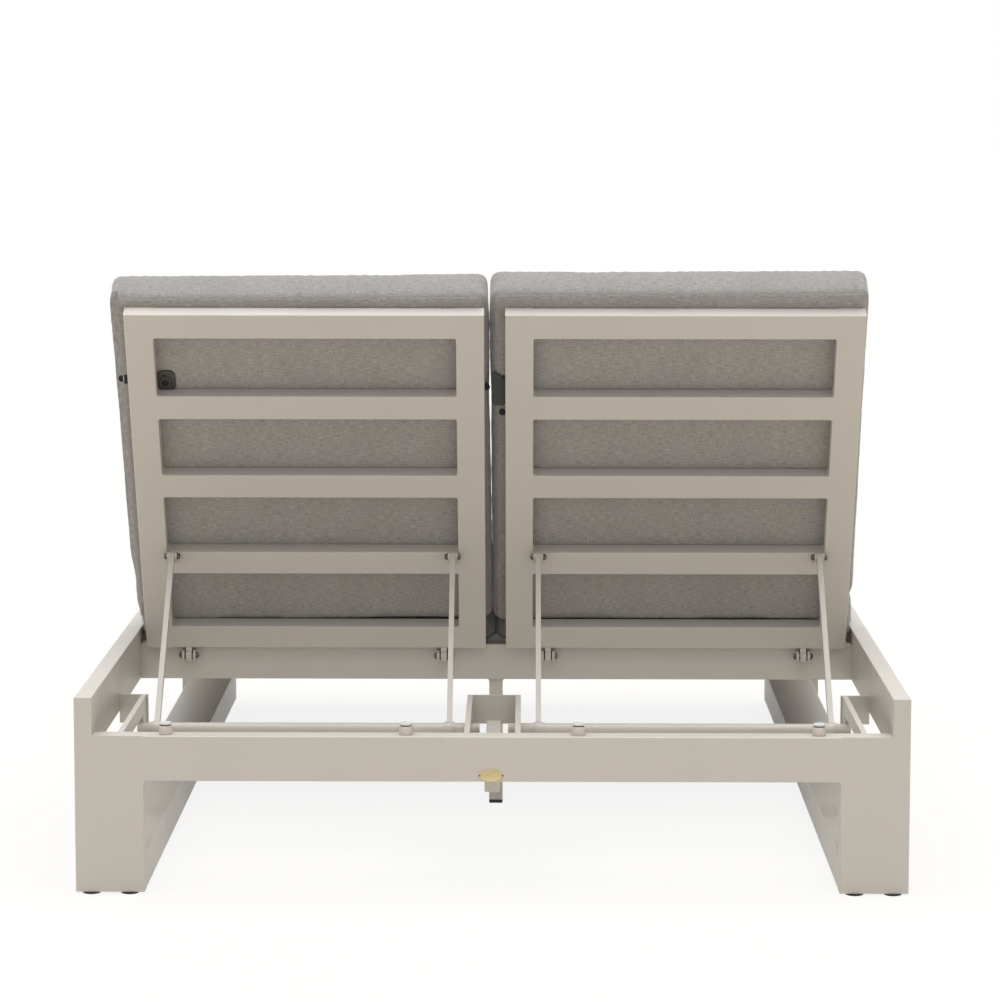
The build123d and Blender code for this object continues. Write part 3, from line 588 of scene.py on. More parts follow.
def box_of(node):
    """The lowest and highest corner of a node at rest."""
    low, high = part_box(node)
    return Vector(low), Vector(high)


def draw_in(x, y, half_x, half_y, draw):
    """Moves a place inward, most at the middle of each side."""
    across = 1 - (y / half_y) ** 2
    along = 1 - (x / half_x) ** 2
    return x - draw * across * x / half_x, y - draw * along * y / half_y


def seam_ring(low, high, corner, level):
    """A rounded rectangle at one level, with its sides drawn in between the corners."""
    centre = (low + high) / 2
    half_x, half_y = (high.x - low.x) / 2, (high.y - low.y) / 2
    points = []
    for sign_x, sign_y, start in ((1, 1, 0), (-1, 1, 90), (-1, -1, 180), (1, -1, 270)):
        for step in range(CORNER_SEGMENTS + 1):
            angle = math.radians(start + 90 * step / CORNER_SEGMENTS)
            x = sign_x * (half_x - corner) + corner * math.cos(angle)
            y = sign_y * (half_y - corner) + corner * math.sin(angle)
            points.append(Vector((x, y, 0)))
    line = []
    for start, end in zip(points, points[1:] + points[:1]):
        steps = max(1, round((end - start).length / SEAM_STEP))
        line += [start.lerp(end, step / steps) for step in range(steps)]
    drawn = [draw_in(point.x, point.y, half_x, half_y, SIDE_DRAW) for point in line]
    return [Vector((centre.x + x, centre.y + y, level)) for x, y in drawn]


def corner_seams(low, high, corner, levels):
    """The four short seams that join the pieces of the band at the corners."""
    reach = corner * (1 - math.sqrt(0.5))
    steps = round((levels[1] - levels[0]) / SEAM_STEP)
    seams = []
    for x in (low.x + reach, high.x - reach):
        for y in (low.y + reach, high.y - reach):
            bottom, top = Vector((x, y, levels[0])), Vector((x, y, levels[1]))
            seams.append([bottom.lerp(top, step / steps) for step in range(steps + 1)])
    return seams


def seam_tree(lines):
    """A search tree over the points of the seams, with each point's distance along its seam."""
    tree = KDTree(sum(len(line) for line in lines))
    runs = []
    for line in lines:
        run = 0.0
        for start, end in zip(line, line[1:] + line[:1]):
            tree.insert(start, len(runs))
            runs.append(run)
            run += (end - start).length
    tree.balance()
    return tree, runs


def pin_seams(obj, tree):
    """Holds the cover at its seams while it is stuffed."""
    group = obj.vertex_groups.new(name="seams")
    held = [vertex.index for vertex in obj.data.vertices if tree.find(vertex.co)[2] < PIN_REACH]
    group.add(held, 1.0, "REPLACE")


def stuff(obj, travel):
    """Blows the cover up with the stuffing's pressure, and holds each place to its greatest travel."""
    start = places_of(obj)
    make_active(obj)
    cloth = obj.modifiers.new("Stuffing", "CLOTH")
    cloth.settings.use_pressure = True
    cloth.settings.uniform_pressure_force = STUFFING_PRESSURE
    cloth.settings.effector_weights.gravity = 0
    cloth.settings.vertex_group_mass = "seams"
    cloth.point_cache.frame_start = 1
    cloth.point_cache.frame_end = STUFFING_FRAMES
    for moment in range(1, STUFFING_FRAMES + 1):
        bpy.context.scene.frame_set(moment)
    bpy.ops.object.modifier_apply(modifier=cloth.name)
    bpy.context.scene.frame_set(1)
    moved = places_of(obj) - start
    length = np.linalg.norm(moved, axis=1, keepdims=True)
    set_places(obj, start + moved * np.minimum(1, travel / np.maximum(length, 1e-9)))


def work_seams(obj, tree, runs, seed):
    """Sinks the cover at its seams and puckers it beside them, with slow waves over the whole of it."""
    places = places_of(obj)
    normals = normals_of(obj)
    lift = np.zeros(len(places))
    for index, place in enumerate(places):
        point = Vector(place)
        slow = noise.noise(point * 7 + Vector((seed, 0, 0))) * 2.2
        slow += noise.noise(point * 19 + Vector((0, seed, 0)))
        lift[index] = slow * WAVE_HEIGHT
        _, nearest, gap = tree.find(point)
        if gap < 3 * PUCKER_REACH:
            wander = noise.noise(point * 11 + Vector((0, 0, seed))) * 2.4
            wave = math.sin(runs[nearest] / PUCKER_STEP * math.tau + wander * 3) * (0.4 + abs(wander))
            lift[index] += PUCKER_HEIGHT * wave * math.exp(-gap / PUCKER_REACH) * min(1, gap / (6 * MM))
        lift[index] -= DIMPLE_DEPTH * math.exp(-((gap / DIMPLE_REACH) ** 2))
    set_places(obj, places + normals * lift[:, None])


def lay_cloth(obj):
    """Gives each panel of a flat-lying cover its own level piece of cloth, in metres."""
    mesh = obj.data
    layer = mesh.uv_layers.new(name="cloth")
    places = places_of(obj)
    corner_vertex = np.empty(len(mesh.loops), dtype=int)
    mesh.loops.foreach_get("vertex_index", corner_vertex)
    face_normals = np.empty(len(mesh.polygons) * 3)
    mesh.polygons.foreach_get("normal", face_normals)
    panel = np.abs(face_normals.reshape(-1, 3)).argmax(axis=1)
    totals = np.empty(len(mesh.polygons), dtype=int)
    mesh.polygons.foreach_get("loop_total", totals)
    corner_panel = np.repeat(panel, totals)
    corner = places[corner_vertex]
    ways = np.array([(1, 2), (0, 2), (0, 1)])[corner_panel]
    rows = np.arange(len(corner))
    spots = np.stack([corner[rows, ways[:, 0]], corner[rows, ways[:, 1]]], axis=1)
    layer.data.foreach_set("uv", (spots + corner_panel[:, None] * 0.37).ravel())


def box_cushion(name, low, high, voxel, slant, seed):
    """A stuffed box cushion, lying flat: two panels with a band between them, sewn all round.

    The slant lets its foot end, or its head end where it is negative, reach further below than on top.
    """
    sizes = settings().sizes
    shape = add_block(name, low, high)
    bpy.ops.object.mode_set(mode="EDIT")
    select_where(shape, "edges", lambda edge: edge_along(edge, 2))
    bpy.ops.mesh.bevel(offset=sizes.corner, segments=CORNER_SEGMENTS, affect="EDGES")
    select_where(shape, "faces", lambda face: abs(face.normal.z) > 0.9)
    bpy.ops.mesh.bevel(offset=EDGE_SOFTNESS, segments=3, affect="EDGES")
    bpy.ops.object.mode_set(mode="OBJECT")
    apply_modifier(shape, "REMESH", mode="VOXEL", voxel_size=voxel)
    centre, half = (low + high) / 2, (high - low) / 2
    sink = EDGE_SOFTNESS * SEAM_SINK
    inner_low, inner_high = low + Vector((sink, sink, sink)), high - Vector((sink, sink, sink))
    levels = (inner_low.z, inner_high.z)
    lines = [seam_ring(inner_low, inner_high, sizes.corner, level) for level in levels]
    lines += corner_seams(inner_low, inner_high, sizes.corner, levels)

    def reach(y, z):
        """How far the slant moves a place along Y."""
        outward = (y - centre.y) / half.y * math.copysign(1, slant)
        return slant * np.clip(outward, 0, 1) ** 2 * np.clip((high.z - z) / (2 * half.z), 0, 1)

    places = places_of(shape)
    x, y = places[:, 0] - centre.x, places[:, 1] - centre.y
    drawn_x, drawn_y = draw_in(x, y, half.x, half.y, SIDE_DRAW)
    above = np.clip((places[:, 2] - centre.z) / half.z, 0, 1)
    rise = sizes.crown * (1 - (x / half.x) ** 4) * (1 - (y / half.y) ** 4) * above
    drawn_y += reach(places[:, 1], places[:, 2])
    set_places(shape, np.stack([centre.x + drawn_x, centre.y + drawn_y, places[:, 2] + rise], axis=1))
    for line in lines:
        for point in line:
            point.y += reach(point.y, point.z)
    tree, runs = seam_tree(lines)
    pin_seams(shape, tree)
    stuff(shape, sizes.swell)
    shape.vertex_groups.clear()
    apply_modifier(shape, "SUBSURF", levels=1, render_levels=1)
    work_seams(shape, tree, runs, seed)
    lay_cloth(shape)
    make_active(shape)
    bpy.ops.object.shade_smooth()
    return shape, lines


def rest(obj, deck, spans=()):
    """Flattens a cushion's underside on its deck, and lets it bulge a little between the deck's slats."""
    places = places_of(obj)
    low = np.full(len(places), deck + REST_GAP)
    for (low_x, high_x), (low_y, high_y) in spans:
        across = np.clip(1 - (2 * (places[:, 0] - (low_x + high_x) / 2) / (high_x - low_x)) ** 2, 0, 1)
        along = np.clip(1 - (2 * (places[:, 1] - (low_y + high_y) / 2) / (high_y - low_y)) ** 2, 0, 1)
        low -= WINDOW_BULGE * np.sqrt(across * along)
    close = places[:, 2] < deck + REST_GAP + 1 * MM
    places[:, 2] = np.where(close, low, np.maximum(places[:, 2], low))
    set_places(obj, places)


def keep_between(obj, low_x, high_x, top=math.inf):
    """Keeps a cushion between two planes, only up to a height where one is given."""
    places = places_of(obj)
    held = places[:, 2] < top
    places[held, 0] = np.clip(places[held, 0], low_x, high_x)
    set_places(obj, places)


def narrow_foot(obj, outward, foot_y, length):
    """Draws a back cushion's outer side in toward its lower end."""
    places = places_of(obj)
    along = np.clip((places[:, 1] - foot_y + length) / (FOOT_RAMP * length), 0, 1)
    start, end = SIDE_ZONE
    share = np.clip((places[:, 0] * outward - start) / (end - start), 0, 1)
    places[:, 0] -= outward * FOOT_NARROWING * share * along * along * (3 - 2 * along)
    set_places(obj, places)


def surface_of(obj):
    """A search tree over an object's faces."""
    return BVHTree.FromObject(obj, bpy.context.evaluated_depsgraph_get())


def welt(name, cushion, lines):
    """A narrow sewn edge laid on a cushion along its seams."""
    surface = surface_of(cushion)
    rings = []
    for line in lines:
        curve = bpy.data.curves.new(name, "CURVE")
        curve.dimensions = "3D"
        curve.bevel_depth = WELT_RADIUS
        curve.bevel_resolution = 1
        curve.use_fill_caps = True
        spline = curve.splines.new("POLY")
        points = []
        for point in line[::2]:
            spot, normal, _, _ = surface.find_nearest(point)
            points.append(spot - normal * WELT_RADIUS * 0.4)
        spline.points.add(len(points) - 1)
        for target, point in zip(spline.points, points):
            target.co = (*point, 1)
        spline.use_cyclic_u = (line[0] - line[-1]).length < 2 * SEAM_STEP
        ring = bpy.data.objects.new(name, curve)
        bpy.context.scene.collection.objects.link(ring)
        make_active(ring)
        bpy.ops.object.convert(target="MESH")
        rings.append(bpy.context.object)
    obj = join(name, rings)
    smooth(obj, 80)
    return obj


def copy_piece(obj, name):
    """A copy of a piece with a mesh of its own."""
    copy = obj.copy()
    copy.data = obj.data.copy()
    copy.name = copy.data.name = name
    bpy.context.scene.collection.objects.link(copy)
    return copy


def mirror_piece(obj, name):
    """A copy of a piece on the other side of the middle."""
    copy = copy_piece(obj, name)
    copy.data.transform(Matrix.Scale(-1, 4, (1, 0, 0)))
    copy.data.flip_normals()
    return copy


def both_sides(pieces):
    """Each side with its pieces: the left ones as given, and the right ones mirrored."""
    mirrored = [mirror_piece(piece, piece.name.replace("left", "right")) for piece in pieces]
    return tuple(zip(OUTWARD, (pieces, mirrored)))


def rail_limits():
    """How far out a cushion may reach between the side rails, and the height up to which that holds."""
    high = box_of("side_rail_left")[1]
    return -high.x - SIDE_GAP, high.z + RAIL_CLEARANCE


def dress_cushion(cover, trim, body, node):
    """Gives a stuffed cover and its sewn edges what they need."""
    materials = bpy.data.materials
    dress(cover, materials["melange_cushion_cloth"], body, (node,))
    dress(trim, materials["sewn_cloth_welt"], body)


def ribbon(name, surface, start, end, width):
    """A band of webbing that lies on a cushion's underside from one place to another along X."""
    steps = max(2, round(abs(end.x - start.x) / (4 * MM)))
    vertices, faces = [], []
    for step in range(steps + 1):
        middle = start.lerp(end, step / steps)
        spot, normal, _, _ = surface.find_nearest(middle)
        for side, rise in ((-1, 0.2), (1, 0.2), (1, 1.2), (-1, 1.2)):
            vertices.append(spot + Vector((0, side * width / 2, 0)) + normal * STRAP_THICKNESS * rise)
        if step:
            last = 4 * step
            faces += [(last - 4 + edge, last - 4 + (edge + 1) % 4, last + (edge + 1) % 4, last + edge)
                      for edge in range(4)]
    faces += [(3, 2, 1, 0), (4 * steps, 4 * steps + 1, 4 * steps + 2, 4 * steps + 3)]
    mesh = bpy.data.meshes.new(name)
    mesh.from_pydata(vertices, [], faces)
    obj = bpy.data.objects.new(name, mesh)
    bpy.context.scene.collection.objects.link(obj)
    make_active(obj)
    bpy.ops.object.mode_set(mode="EDIT")
    face_outward()
    return obj


def weld_strips(name, boxes):
    """Ground welds, each a shallow bar between two corners with softened edges."""
    bars = []
    for low, high in boxes:
        bar = add_block(name, low, high)
        soften(bar, 0.4 * MM)
        bars.append(bar)
    return join(name, bars)


def weld_run(x, outward):
    """Where a ground weld starts and ends along X, mostly outward from the joint."""
    return sorted((x - outward * WELD_WIDTH * 0.2, x + outward * WELD_WIDTH * 0.8))


def slat_spans():
    """Where each member across a backrest starts and ends along Y, from the bottom rail up, lying flat."""
    bottom_low, bottom_high = flat_box("backrest_bottom_rail_left")
    top_low, _ = flat_box("backrest_top_rail_left")
    width = bottom_high.y - bottom_low.y
    return [(low, low + width) for low in np.linspace(bottom_low.y, top_low.y, WINDOW_COUNT + 1)]


def colour_setting(name, description, text):
    """A colour that a user may change."""
    return FloatVectorProperty(
        name=name, description=description, subtype="COLOR", size=3, min=0, max=1, default=srgb(text)
    )


def length_setting(name, description, length):
    """A length that a user may change."""
    return FloatProperty(name=name, description=description, unit="LENGTH", default=length)


def angle_setting(name, description, degrees):
    """An angle that a user may change."""
    return FloatProperty(name=name, description=description, subtype="ANGLE", default=math.radians(degrees))


def strength_setting(name, description, strength):
    """A light's strength that a user may change."""
    return FloatProperty(name=name, description=description, default=strength)


class LoungerColours(bpy.types.PropertyGroup):
    """Colours of the coating and of the cloth's yarns."""

    frame: colour_setting("Frame", "Powder coat on the tubes and plates", "#BFBAB2")
    cloth: colour_setting("Cloth", "The cushions' main yarn", "#969391")
    cloth_light: colour_setting("Light yarn", "The light slubs in the cloth", "#AAA7A4")
    cloth_dark: colour_setting("Dark yarn", "The dark slubs in the cloth", "#83807D")


class LoungerSizes(bpy.types.PropertyGroup):
    """Sizes of the stuffed cushions."""

    swell: length_setting("Swell", "How far the stuffing may push a cover out", 9 * MM)
    crown: length_setting("Crown", "How much higher a cushion is at its middle than at its seams", 5 * MM)
    corner: length_setting("Corner", "Radius of a cushion's corners, seen from above", 18 * MM)
    voxel: length_setting("Mesh step", "Size of the even mesh that a cover is stuffed with", 8 * MM)


class LoungerView(bpy.types.PropertyGroup):
    """Where the camera stands and how bright the studio is."""

    place: FloatVectorProperty(
        name="Camera", description="Where the camera stands", subtype="TRANSLATION", unit="LENGTH",
        size=3, default=(0.05908, -7.1553, 1.44646),
    )
    pitch: angle_setting("Pitch", "How far the camera looks down", 6.766)
    yaw: angle_setting("Yaw", "How far the camera turns to its left", 0.428)
    roll: angle_setting("Roll", "How far the camera is tipped sideways", -0.057)
    lens: FloatProperty(
        name="Lens", description="Focal length in millimetres, on a sensor 36 mm wide", default=125.51,
    )
    sky: strength_setting("Sky", "Strength of the even light from all round", 0.36)
    sun: strength_setting("Sun", "Strength of the wide, soft light from above", 3.35)
    sun_lean: angle_setting("Sun's lean", "How far the light from above leans to the camera", 2)
    fill: strength_setting("Fill", "Strength of the soft light beside the camera", 0.3)
    fill_rise: angle_setting("Fill's rise", "How high the light beside the camera stands above level", 12)
    spread: angle_setting("Spread", "How wide both lights are", 70)


class LoungerSettings(bpy.types.PropertyGroup):
    """All the sizes and colours that a user may change."""

    colours: PointerProperty(type=LoungerColours)
    sizes: PointerProperty(type=LoungerSizes)
    view: PointerProperty(type=LoungerView)


class LOUNGER_OT_stage(bpy.types.Operator):
    """Builds the floor, the sky, the lights and the camera"""

    bl_idname = "lounger.stage"
    bl_label = "Stage"

    def execute(self, context):
        self.add_floor()
        self.add_sky(context)
        self.add_lights(context)
        self.add_camera(context)
        context.scene.view_settings.view_transform = "Standard"
        return {"FINISHED"}

    def add_floor(self):
        """A wide floor that the camera sees as white and that keeps a soft shadow under the object."""
        deselect_all()
        bpy.ops.mesh.primitive_plane_add(size=FLOOR_SIZE, location=(0, 0, 0))
        floor = bpy.context.object
        floor.name = floor.data.name = "floor"
        material, tree = new_material("painted_studio_floor")
        glow = add_node(tree, "ShaderNodeEmission", {"Color": (1, 1, 1, 1), "Strength": 1.0})
        cloud = blotches(tree, object_place(tree), FLOOR_BLOTCH)
        tint = shade_between(tree, cloud, srgb("#E2DBD0"), srgb("#E8E1D6"))
        paint = add_node(tree, "ShaderNodeBsdfPrincipled", {"Base Color": tint, "Roughness": 0.9})
        share = maths(tree, "MULTIPLY", seen_directly(tree), FLOOR_GLOW)
        mix = add_node(tree, "ShaderNodeMixShader", {"Fac": share})
        tree.links.new(paint.outputs["BSDF"], mix.inputs[1])
        tree.links.new(glow.outputs["Emission"], mix.inputs[2])
        add_node(tree, "ShaderNodeOutputMaterial", {"Surface": mix.outputs["Shader"]})
        floor.data.materials.append(material)

    def add_sky(self, context):
        """An even sky that the camera and reflections see as white."""
        world = bpy.data.worlds.new("studio_sky")
        world.use_nodes = True
        tree = world.node_tree
        tree.nodes.clear()
        inputs = {"Value": seen_directly(tree), "To Min": settings().view.sky, "To Max": 1.0}
        strength = add_node(tree, "ShaderNodeMapRange", inputs).outputs["Result"]
        sky = add_node(tree, "ShaderNodeBackground", {"Color": (1, 1, 1, 1), "Strength": strength})
        add_node(tree, "ShaderNodeOutputWorld", {"Surface": sky.outputs["Background"]})
        context.scene.world = world

    def add_lights(self, context):
        """A wide, soft light from above that leans to the camera, and a weaker one beside the camera."""
        view = settings().view
        for name, strength, turn in (
            ("light_above", view.sun, -view.sun_lean),
            ("light_fill", view.fill, view.fill_rise - math.pi / 2),
        ):
            light = bpy.data.lights.new(name, "SUN")
            light.energy = strength
            light.angle = view.spread
            lamp = bpy.data.objects.new(name, light)
            lamp.rotation_euler = Euler((-turn, 0, 0))
            context.scene.collection.objects.link(lamp)

    def add_camera(self, context):
        """The camera, at the photograph's place and angle."""
        view = settings().view
        data = bpy.data.cameras.new("camera")
        data.sensor_width = 36
        data.lens = view.lens
        data.clip_end = 200
        camera = bpy.data.objects.new("camera", data)
        camera.location = view.place
        camera.rotation_euler = Euler((math.pi / 2 - view.pitch, view.roll, view.yaw))
        context.scene.collection.objects.link(camera)
        context.scene.camera = camera


class LOUNGER_OT_frame(bpy.types.Operator):
    """Coats the tubes, plates and bars, and fills the notches between them with ground welds"""

    bl_idname = "lounger.frame"
    bl_label = "Frame"

    def execute(self, context):
        coat = powder_coat()
        slots = {part["node"]: part["material_slot"] for part in frame["record"]["subparts"]}
        for name, node in frame["nodes"].items():
            if slots[name] == "powder_coated_aluminium":
                node.data.materials.clear()
                node.data.materials.append(coat)
        fixed = weld_strips("ground_welds_frame", self.frame_welds())
        dress(fixed, coat, "frame")
        for side in OUTWARD:
            moving = weld_strips(f"ground_welds_backrest_{side}", self.backrest_welds(side))
            moving.data.transform(RAISE)
            dress(moving, coat, f"backrest_{side}")
            collars = [self.collar(side, arm) for arm in ("inner", "outer")]
            flares = join(f"stand_welds_{side}", collars)
            smooth(flares)
            dress(flares, coat, f"stand_{side}")
        return {"FINISHED"}

    def collar(self, side, arm):
        """The flare of weld round the crossbar at one arm."""
        low, high = box_of(f"stand_arm_{arm}_{side}")
        bar_low, bar_high = box_of(f"stand_crossbar_{side}")
        radius = (bar_high.z - bar_low.z) / 2
        half = (high.x - low.x) / 2
        collar = turned("collar", [
            (radius + 0.1 * MM, -half - COLLAR_REACH), (radius + 0.8 * MM, -half - COLLAR_REACH * 0.6),
            (radius + COLLAR_RISE, -half), (radius + COLLAR_RISE, half),
            (radius + 0.8 * MM, half + COLLAR_REACH * 0.6), (radius + 0.1 * MM, half + COLLAR_REACH),
        ])
        middle = (bar_low + bar_high) / 2
        middle.x = (low.x + high.x) / 2
        collar.data.transform(Matrix.Translation(middle) @ Matrix.Rotation(math.pi / 2, 4, "Y"))
        return collar

    def backrest_welds(self, side):
        """On a backrest's underside, where its rails and slats meet its stiles."""
        boxes = []
        low, high = flat_box(f"backrest_bottom_rail_{side}")
        face = low.z
        for start_y, end_y in slat_spans():
            for x, outward in ((low.x, -1), (high.x, 1)):
                ends = weld_run(x, outward)
                boxes.append((
                    (ends[0], start_y + WELD_DEPTH, face - WELD_RISE),
                    (ends[1], end_y - WELD_DEPTH, face + WELD_DEPTH),
                ))
        return boxes

    def frame_welds(self):
        """On the outer and inner faces of the head and foot portals, where a beam meets its legs."""
        boxes = []
        for beam in ("head_beam", "foot_beam"):
            low, high = box_of(beam)
            for y, inward in ((low.y, 1), (high.y, -1)):
                depth = sorted((y - inward * WELD_RISE, y + inward * WELD_DEPTH))
                for x, outward in ((low.x, -1), (high.x, 1)):
                    ends = weld_run(x, outward)
                    boxes.append((
                        (ends[0], depth[0], low.z + WELD_DEPTH),
                        (ends[1], depth[1], high.z - WELD_DEPTH),
                    ))
        return boxes


class LOUNGER_OT_feet(bpy.types.Operator):
    """Makes the rubber glides under the legs, and coats the centre leg's cap"""

    bl_idname = "lounger.feet"
    bl_label = "Feet"

    def execute(self, context):
        rubber = moulded_rubber()
        cap = frame["nodes"]["center_leg_cap"]
        cap.data.materials.clear()
        cap.data.materials.append(rubber)
        top = box_of("head_leg_left")[0].z
        radius = GLIDE_RADIUS
        profile = [
            (radius * 0.45, 0.5 * MM), (radius * 0.5, 0), (radius * 0.88, 0), (radius * 0.97, 0.6 * MM),
            (radius, 1.6 * MM), (radius, top - 0.2 * MM), (radius * 0.9, top),
        ]
        first = turned("glide", profile)
        glides = []
        for leg in ("head_leg_left", "head_leg_right", "foot_leg_left", "foot_leg_right"):
            low, high = box_of(leg)
            for aside in (-GLIDE_SPACING / 2, GLIDE_SPACING / 2):
                glide = copy_piece(first, "glide")
                middle = (low + high) / 2
                outward = math.copysign(GLIDE_OUTWARD, middle.y)
                glide.data.transform(Matrix.Translation((middle.x + aside, middle.y + outward, 0)))
                glides.append(glide)
        bpy.data.objects.remove(first)
        feet = join("rubber_glides", glides)
        smooth(feet)
        dress(feet, rubber, "frame", ("leg_glides",))
        return {"FINISHED"}


class LOUNGER_OT_back_cushions(bpy.types.Operator):
    """Sews and stuffs the cushion on each backrest"""

    bl_idname = "lounger.back_cushions"
    bl_label = "Back cushions"

    def execute(self, context):
        sizes = settings().sizes
        melange_cloth()
        sewn_welt()
        low, high = flat_box("back_cushion_left")
        low, high = low - BACK_GROWTH[0], high + BACK_GROWTH[1] - Vector((0, 0, sizes.crown))
        seed = CUSHION_SEEDS["back"]
        cushion, lines = box_cushion("back_cushion_cover_left", low, high, sizes.voxel, FOOT_SLANT, seed)
        rail_low, rail_high = flat_box("backrest_bottom_rail_left")
        spans = slat_spans()
        across = (rail_low.x, rail_high.x)
        windows = [(across, (upper[1], lower[0])) for lower, upper in zip(spans, spans[1:])]
        rest(cushion, low.z, windows)
        seams = welt("back_cushion_welt_left", cushion, lines)
        reach, rail_top = rail_limits()
        for side, (cover, trim) in both_sides((cushion, seams)):
            aside, upward, turn, stretch = BACK_LIES[side]
            head = Vector((0, low.y, 0))
            middle = sum(flat_box(f"back_cushion_{side}"), Vector()) / 2
            lie = (
                Matrix.Translation(middle + Vector((aside, -upward, 0)))
                @ Matrix.Rotation(math.radians(turn), 4, "Z")
                @ Matrix.Translation(head - middle)
                @ Matrix.Diagonal((1, stretch, 1, 1))
                @ Matrix.Translation(-head)
            )
            for piece in (cover, trim):
                piece.data.transform(lie)
                narrow_foot(piece, OUTWARD[side], high.y, FOOT_NARROWS[side])
                keep_between(piece, -reach, reach, rail_top)
                piece.data.transform(RAISE)
            dress_cushion(cover, trim, f"backrest_{side}", f"back_cushion_{side}")
        return {"FINISHED"}


class LOUNGER_OT_seat_cushions(bpy.types.Operator):
    """Sews and stuffs the cushion on each seat"""

    bl_idname = "lounger.seat_cushions"
    bl_label = "Seat cushions"

    def execute(self, context):
        sizes = settings().sizes
        low, high = box_of("seat_cushion_left")
        low, high = low - SEAT_GROWTH[0], high + SEAT_GROWTH[1] - Vector((0, 0, sizes.crown))
        voxel, seed = SEAT_VOXEL_SHARE * sizes.voxel, CUSHION_SEEDS["seat"]
        cushion, lines = box_cushion("seat_cushion_cover_left", low, high, voxel, -HEAD_SLANT, seed)
        rest(cushion, low.z)
        self.hang_head_end(cushion, low)
        seams = welt("seat_cushion_welt_left", cushion, lines)
        reach, rail_top = rail_limits()
        for piece in (cushion, seams):
            keep_between(piece, -reach, reach, rail_top)
            keep_between(piece, -math.inf, -SIDE_GAP)
        for side, (cover, trim) in both_sides((cushion, seams)):
            dress_cushion(cover, trim, "frame", f"seat_cushion_{side}")
        return {"FINISHED"}

    def hang_head_end(self, cushion, low):
        """Lets the underside sink behind the first slat, down to the hinge beam."""
        places = places_of(cushion)
        slat_y = box_of("seat_slats_left")[0].y
        behind = np.clip((slat_y - 2 * MM - places[:, 1]) / (8 * MM), 0, 1)
        under = np.clip(1 - (places[:, 2] - low.z) / (60 * MM), 0, 1)
        places[:, 2] -= HEAD_DROP * behind * under
        set_places(cushion, places)


class LOUNGER_OT_bolts(bpy.types.Operator):
    """Makes the bolts of the hinges and of the stands, each with a socket head and a nut"""

    bl_idname = "lounger.bolts"
    bl_label = "Bolts"

    def execute(self, context):
        steel = blackened_steel()
        # The hinge bolts' heads face away from the backrest's middle, and those of the stand bolts face it
        for name, sizes, ears, body, head_way in (
            ("hinge_bolts", HINGE_BOLT, "hinge_ears", "frame", 1),
            ("stand_bolts", STAND_BOLT, "stand_brackets", "backrest_{}", -1),
        ):
            for side in OUTWARD:
                ears_low, ears_high = box_of(f"{ears}_{side}")
                low, high = box_of(f"{name}_{side}")
                bolts = []
                for x, way in ((ears_low.x + sizes[0], -head_way), (ears_high.x - sizes[0], head_way)):
                    bolt = self.bolt(sizes)
                    turn = Matrix.Rotation(way * math.pi / 2, 4, "Y")
                    place = Vector((x, (low.y + high.y) / 2, (low.z + high.z) / 2))
                    bolt.data.transform(Matrix.Translation(place) @ turn)
                    bolts.append(bolt)
                piece = join(f"{name}_turned_{side}", bolts)
                smooth(piece)
                dress(piece, steel, body.format(side), (f"{name}_{side}",))
        return {"FINISHED"}

    def bolt(self, sizes):
        """A bolt along Z with a domed socket head on top and a hexagonal nut below."""
        grip, shaft, head, rise = sizes
        shank = turned("bolt", [
            (shaft * 0.8, -grip - rise), (shaft, -grip - rise * 0.8), (shaft, grip), (head, grip),
            (head, grip + rise * 0.35), (head * 0.86, grip + rise * 0.75), (head * 0.55, grip + rise),
        ], 24)
        socket = turned("socket", [
            (head * SOCKET_SHARE, grip + rise * 0.4), (head * SOCKET_SHARE, grip + rise * 1.5)], 6)
        cut_away(shank, socket)
        nut = turned("nut", [
            (head * 0.86, -grip - rise * 0.85), (head, -grip - rise * 0.7), (head, -grip)], 6)
        bolt = join("bolt", [shank, nut])
        soften(bolt, 0.25 * MM)
        return bolt


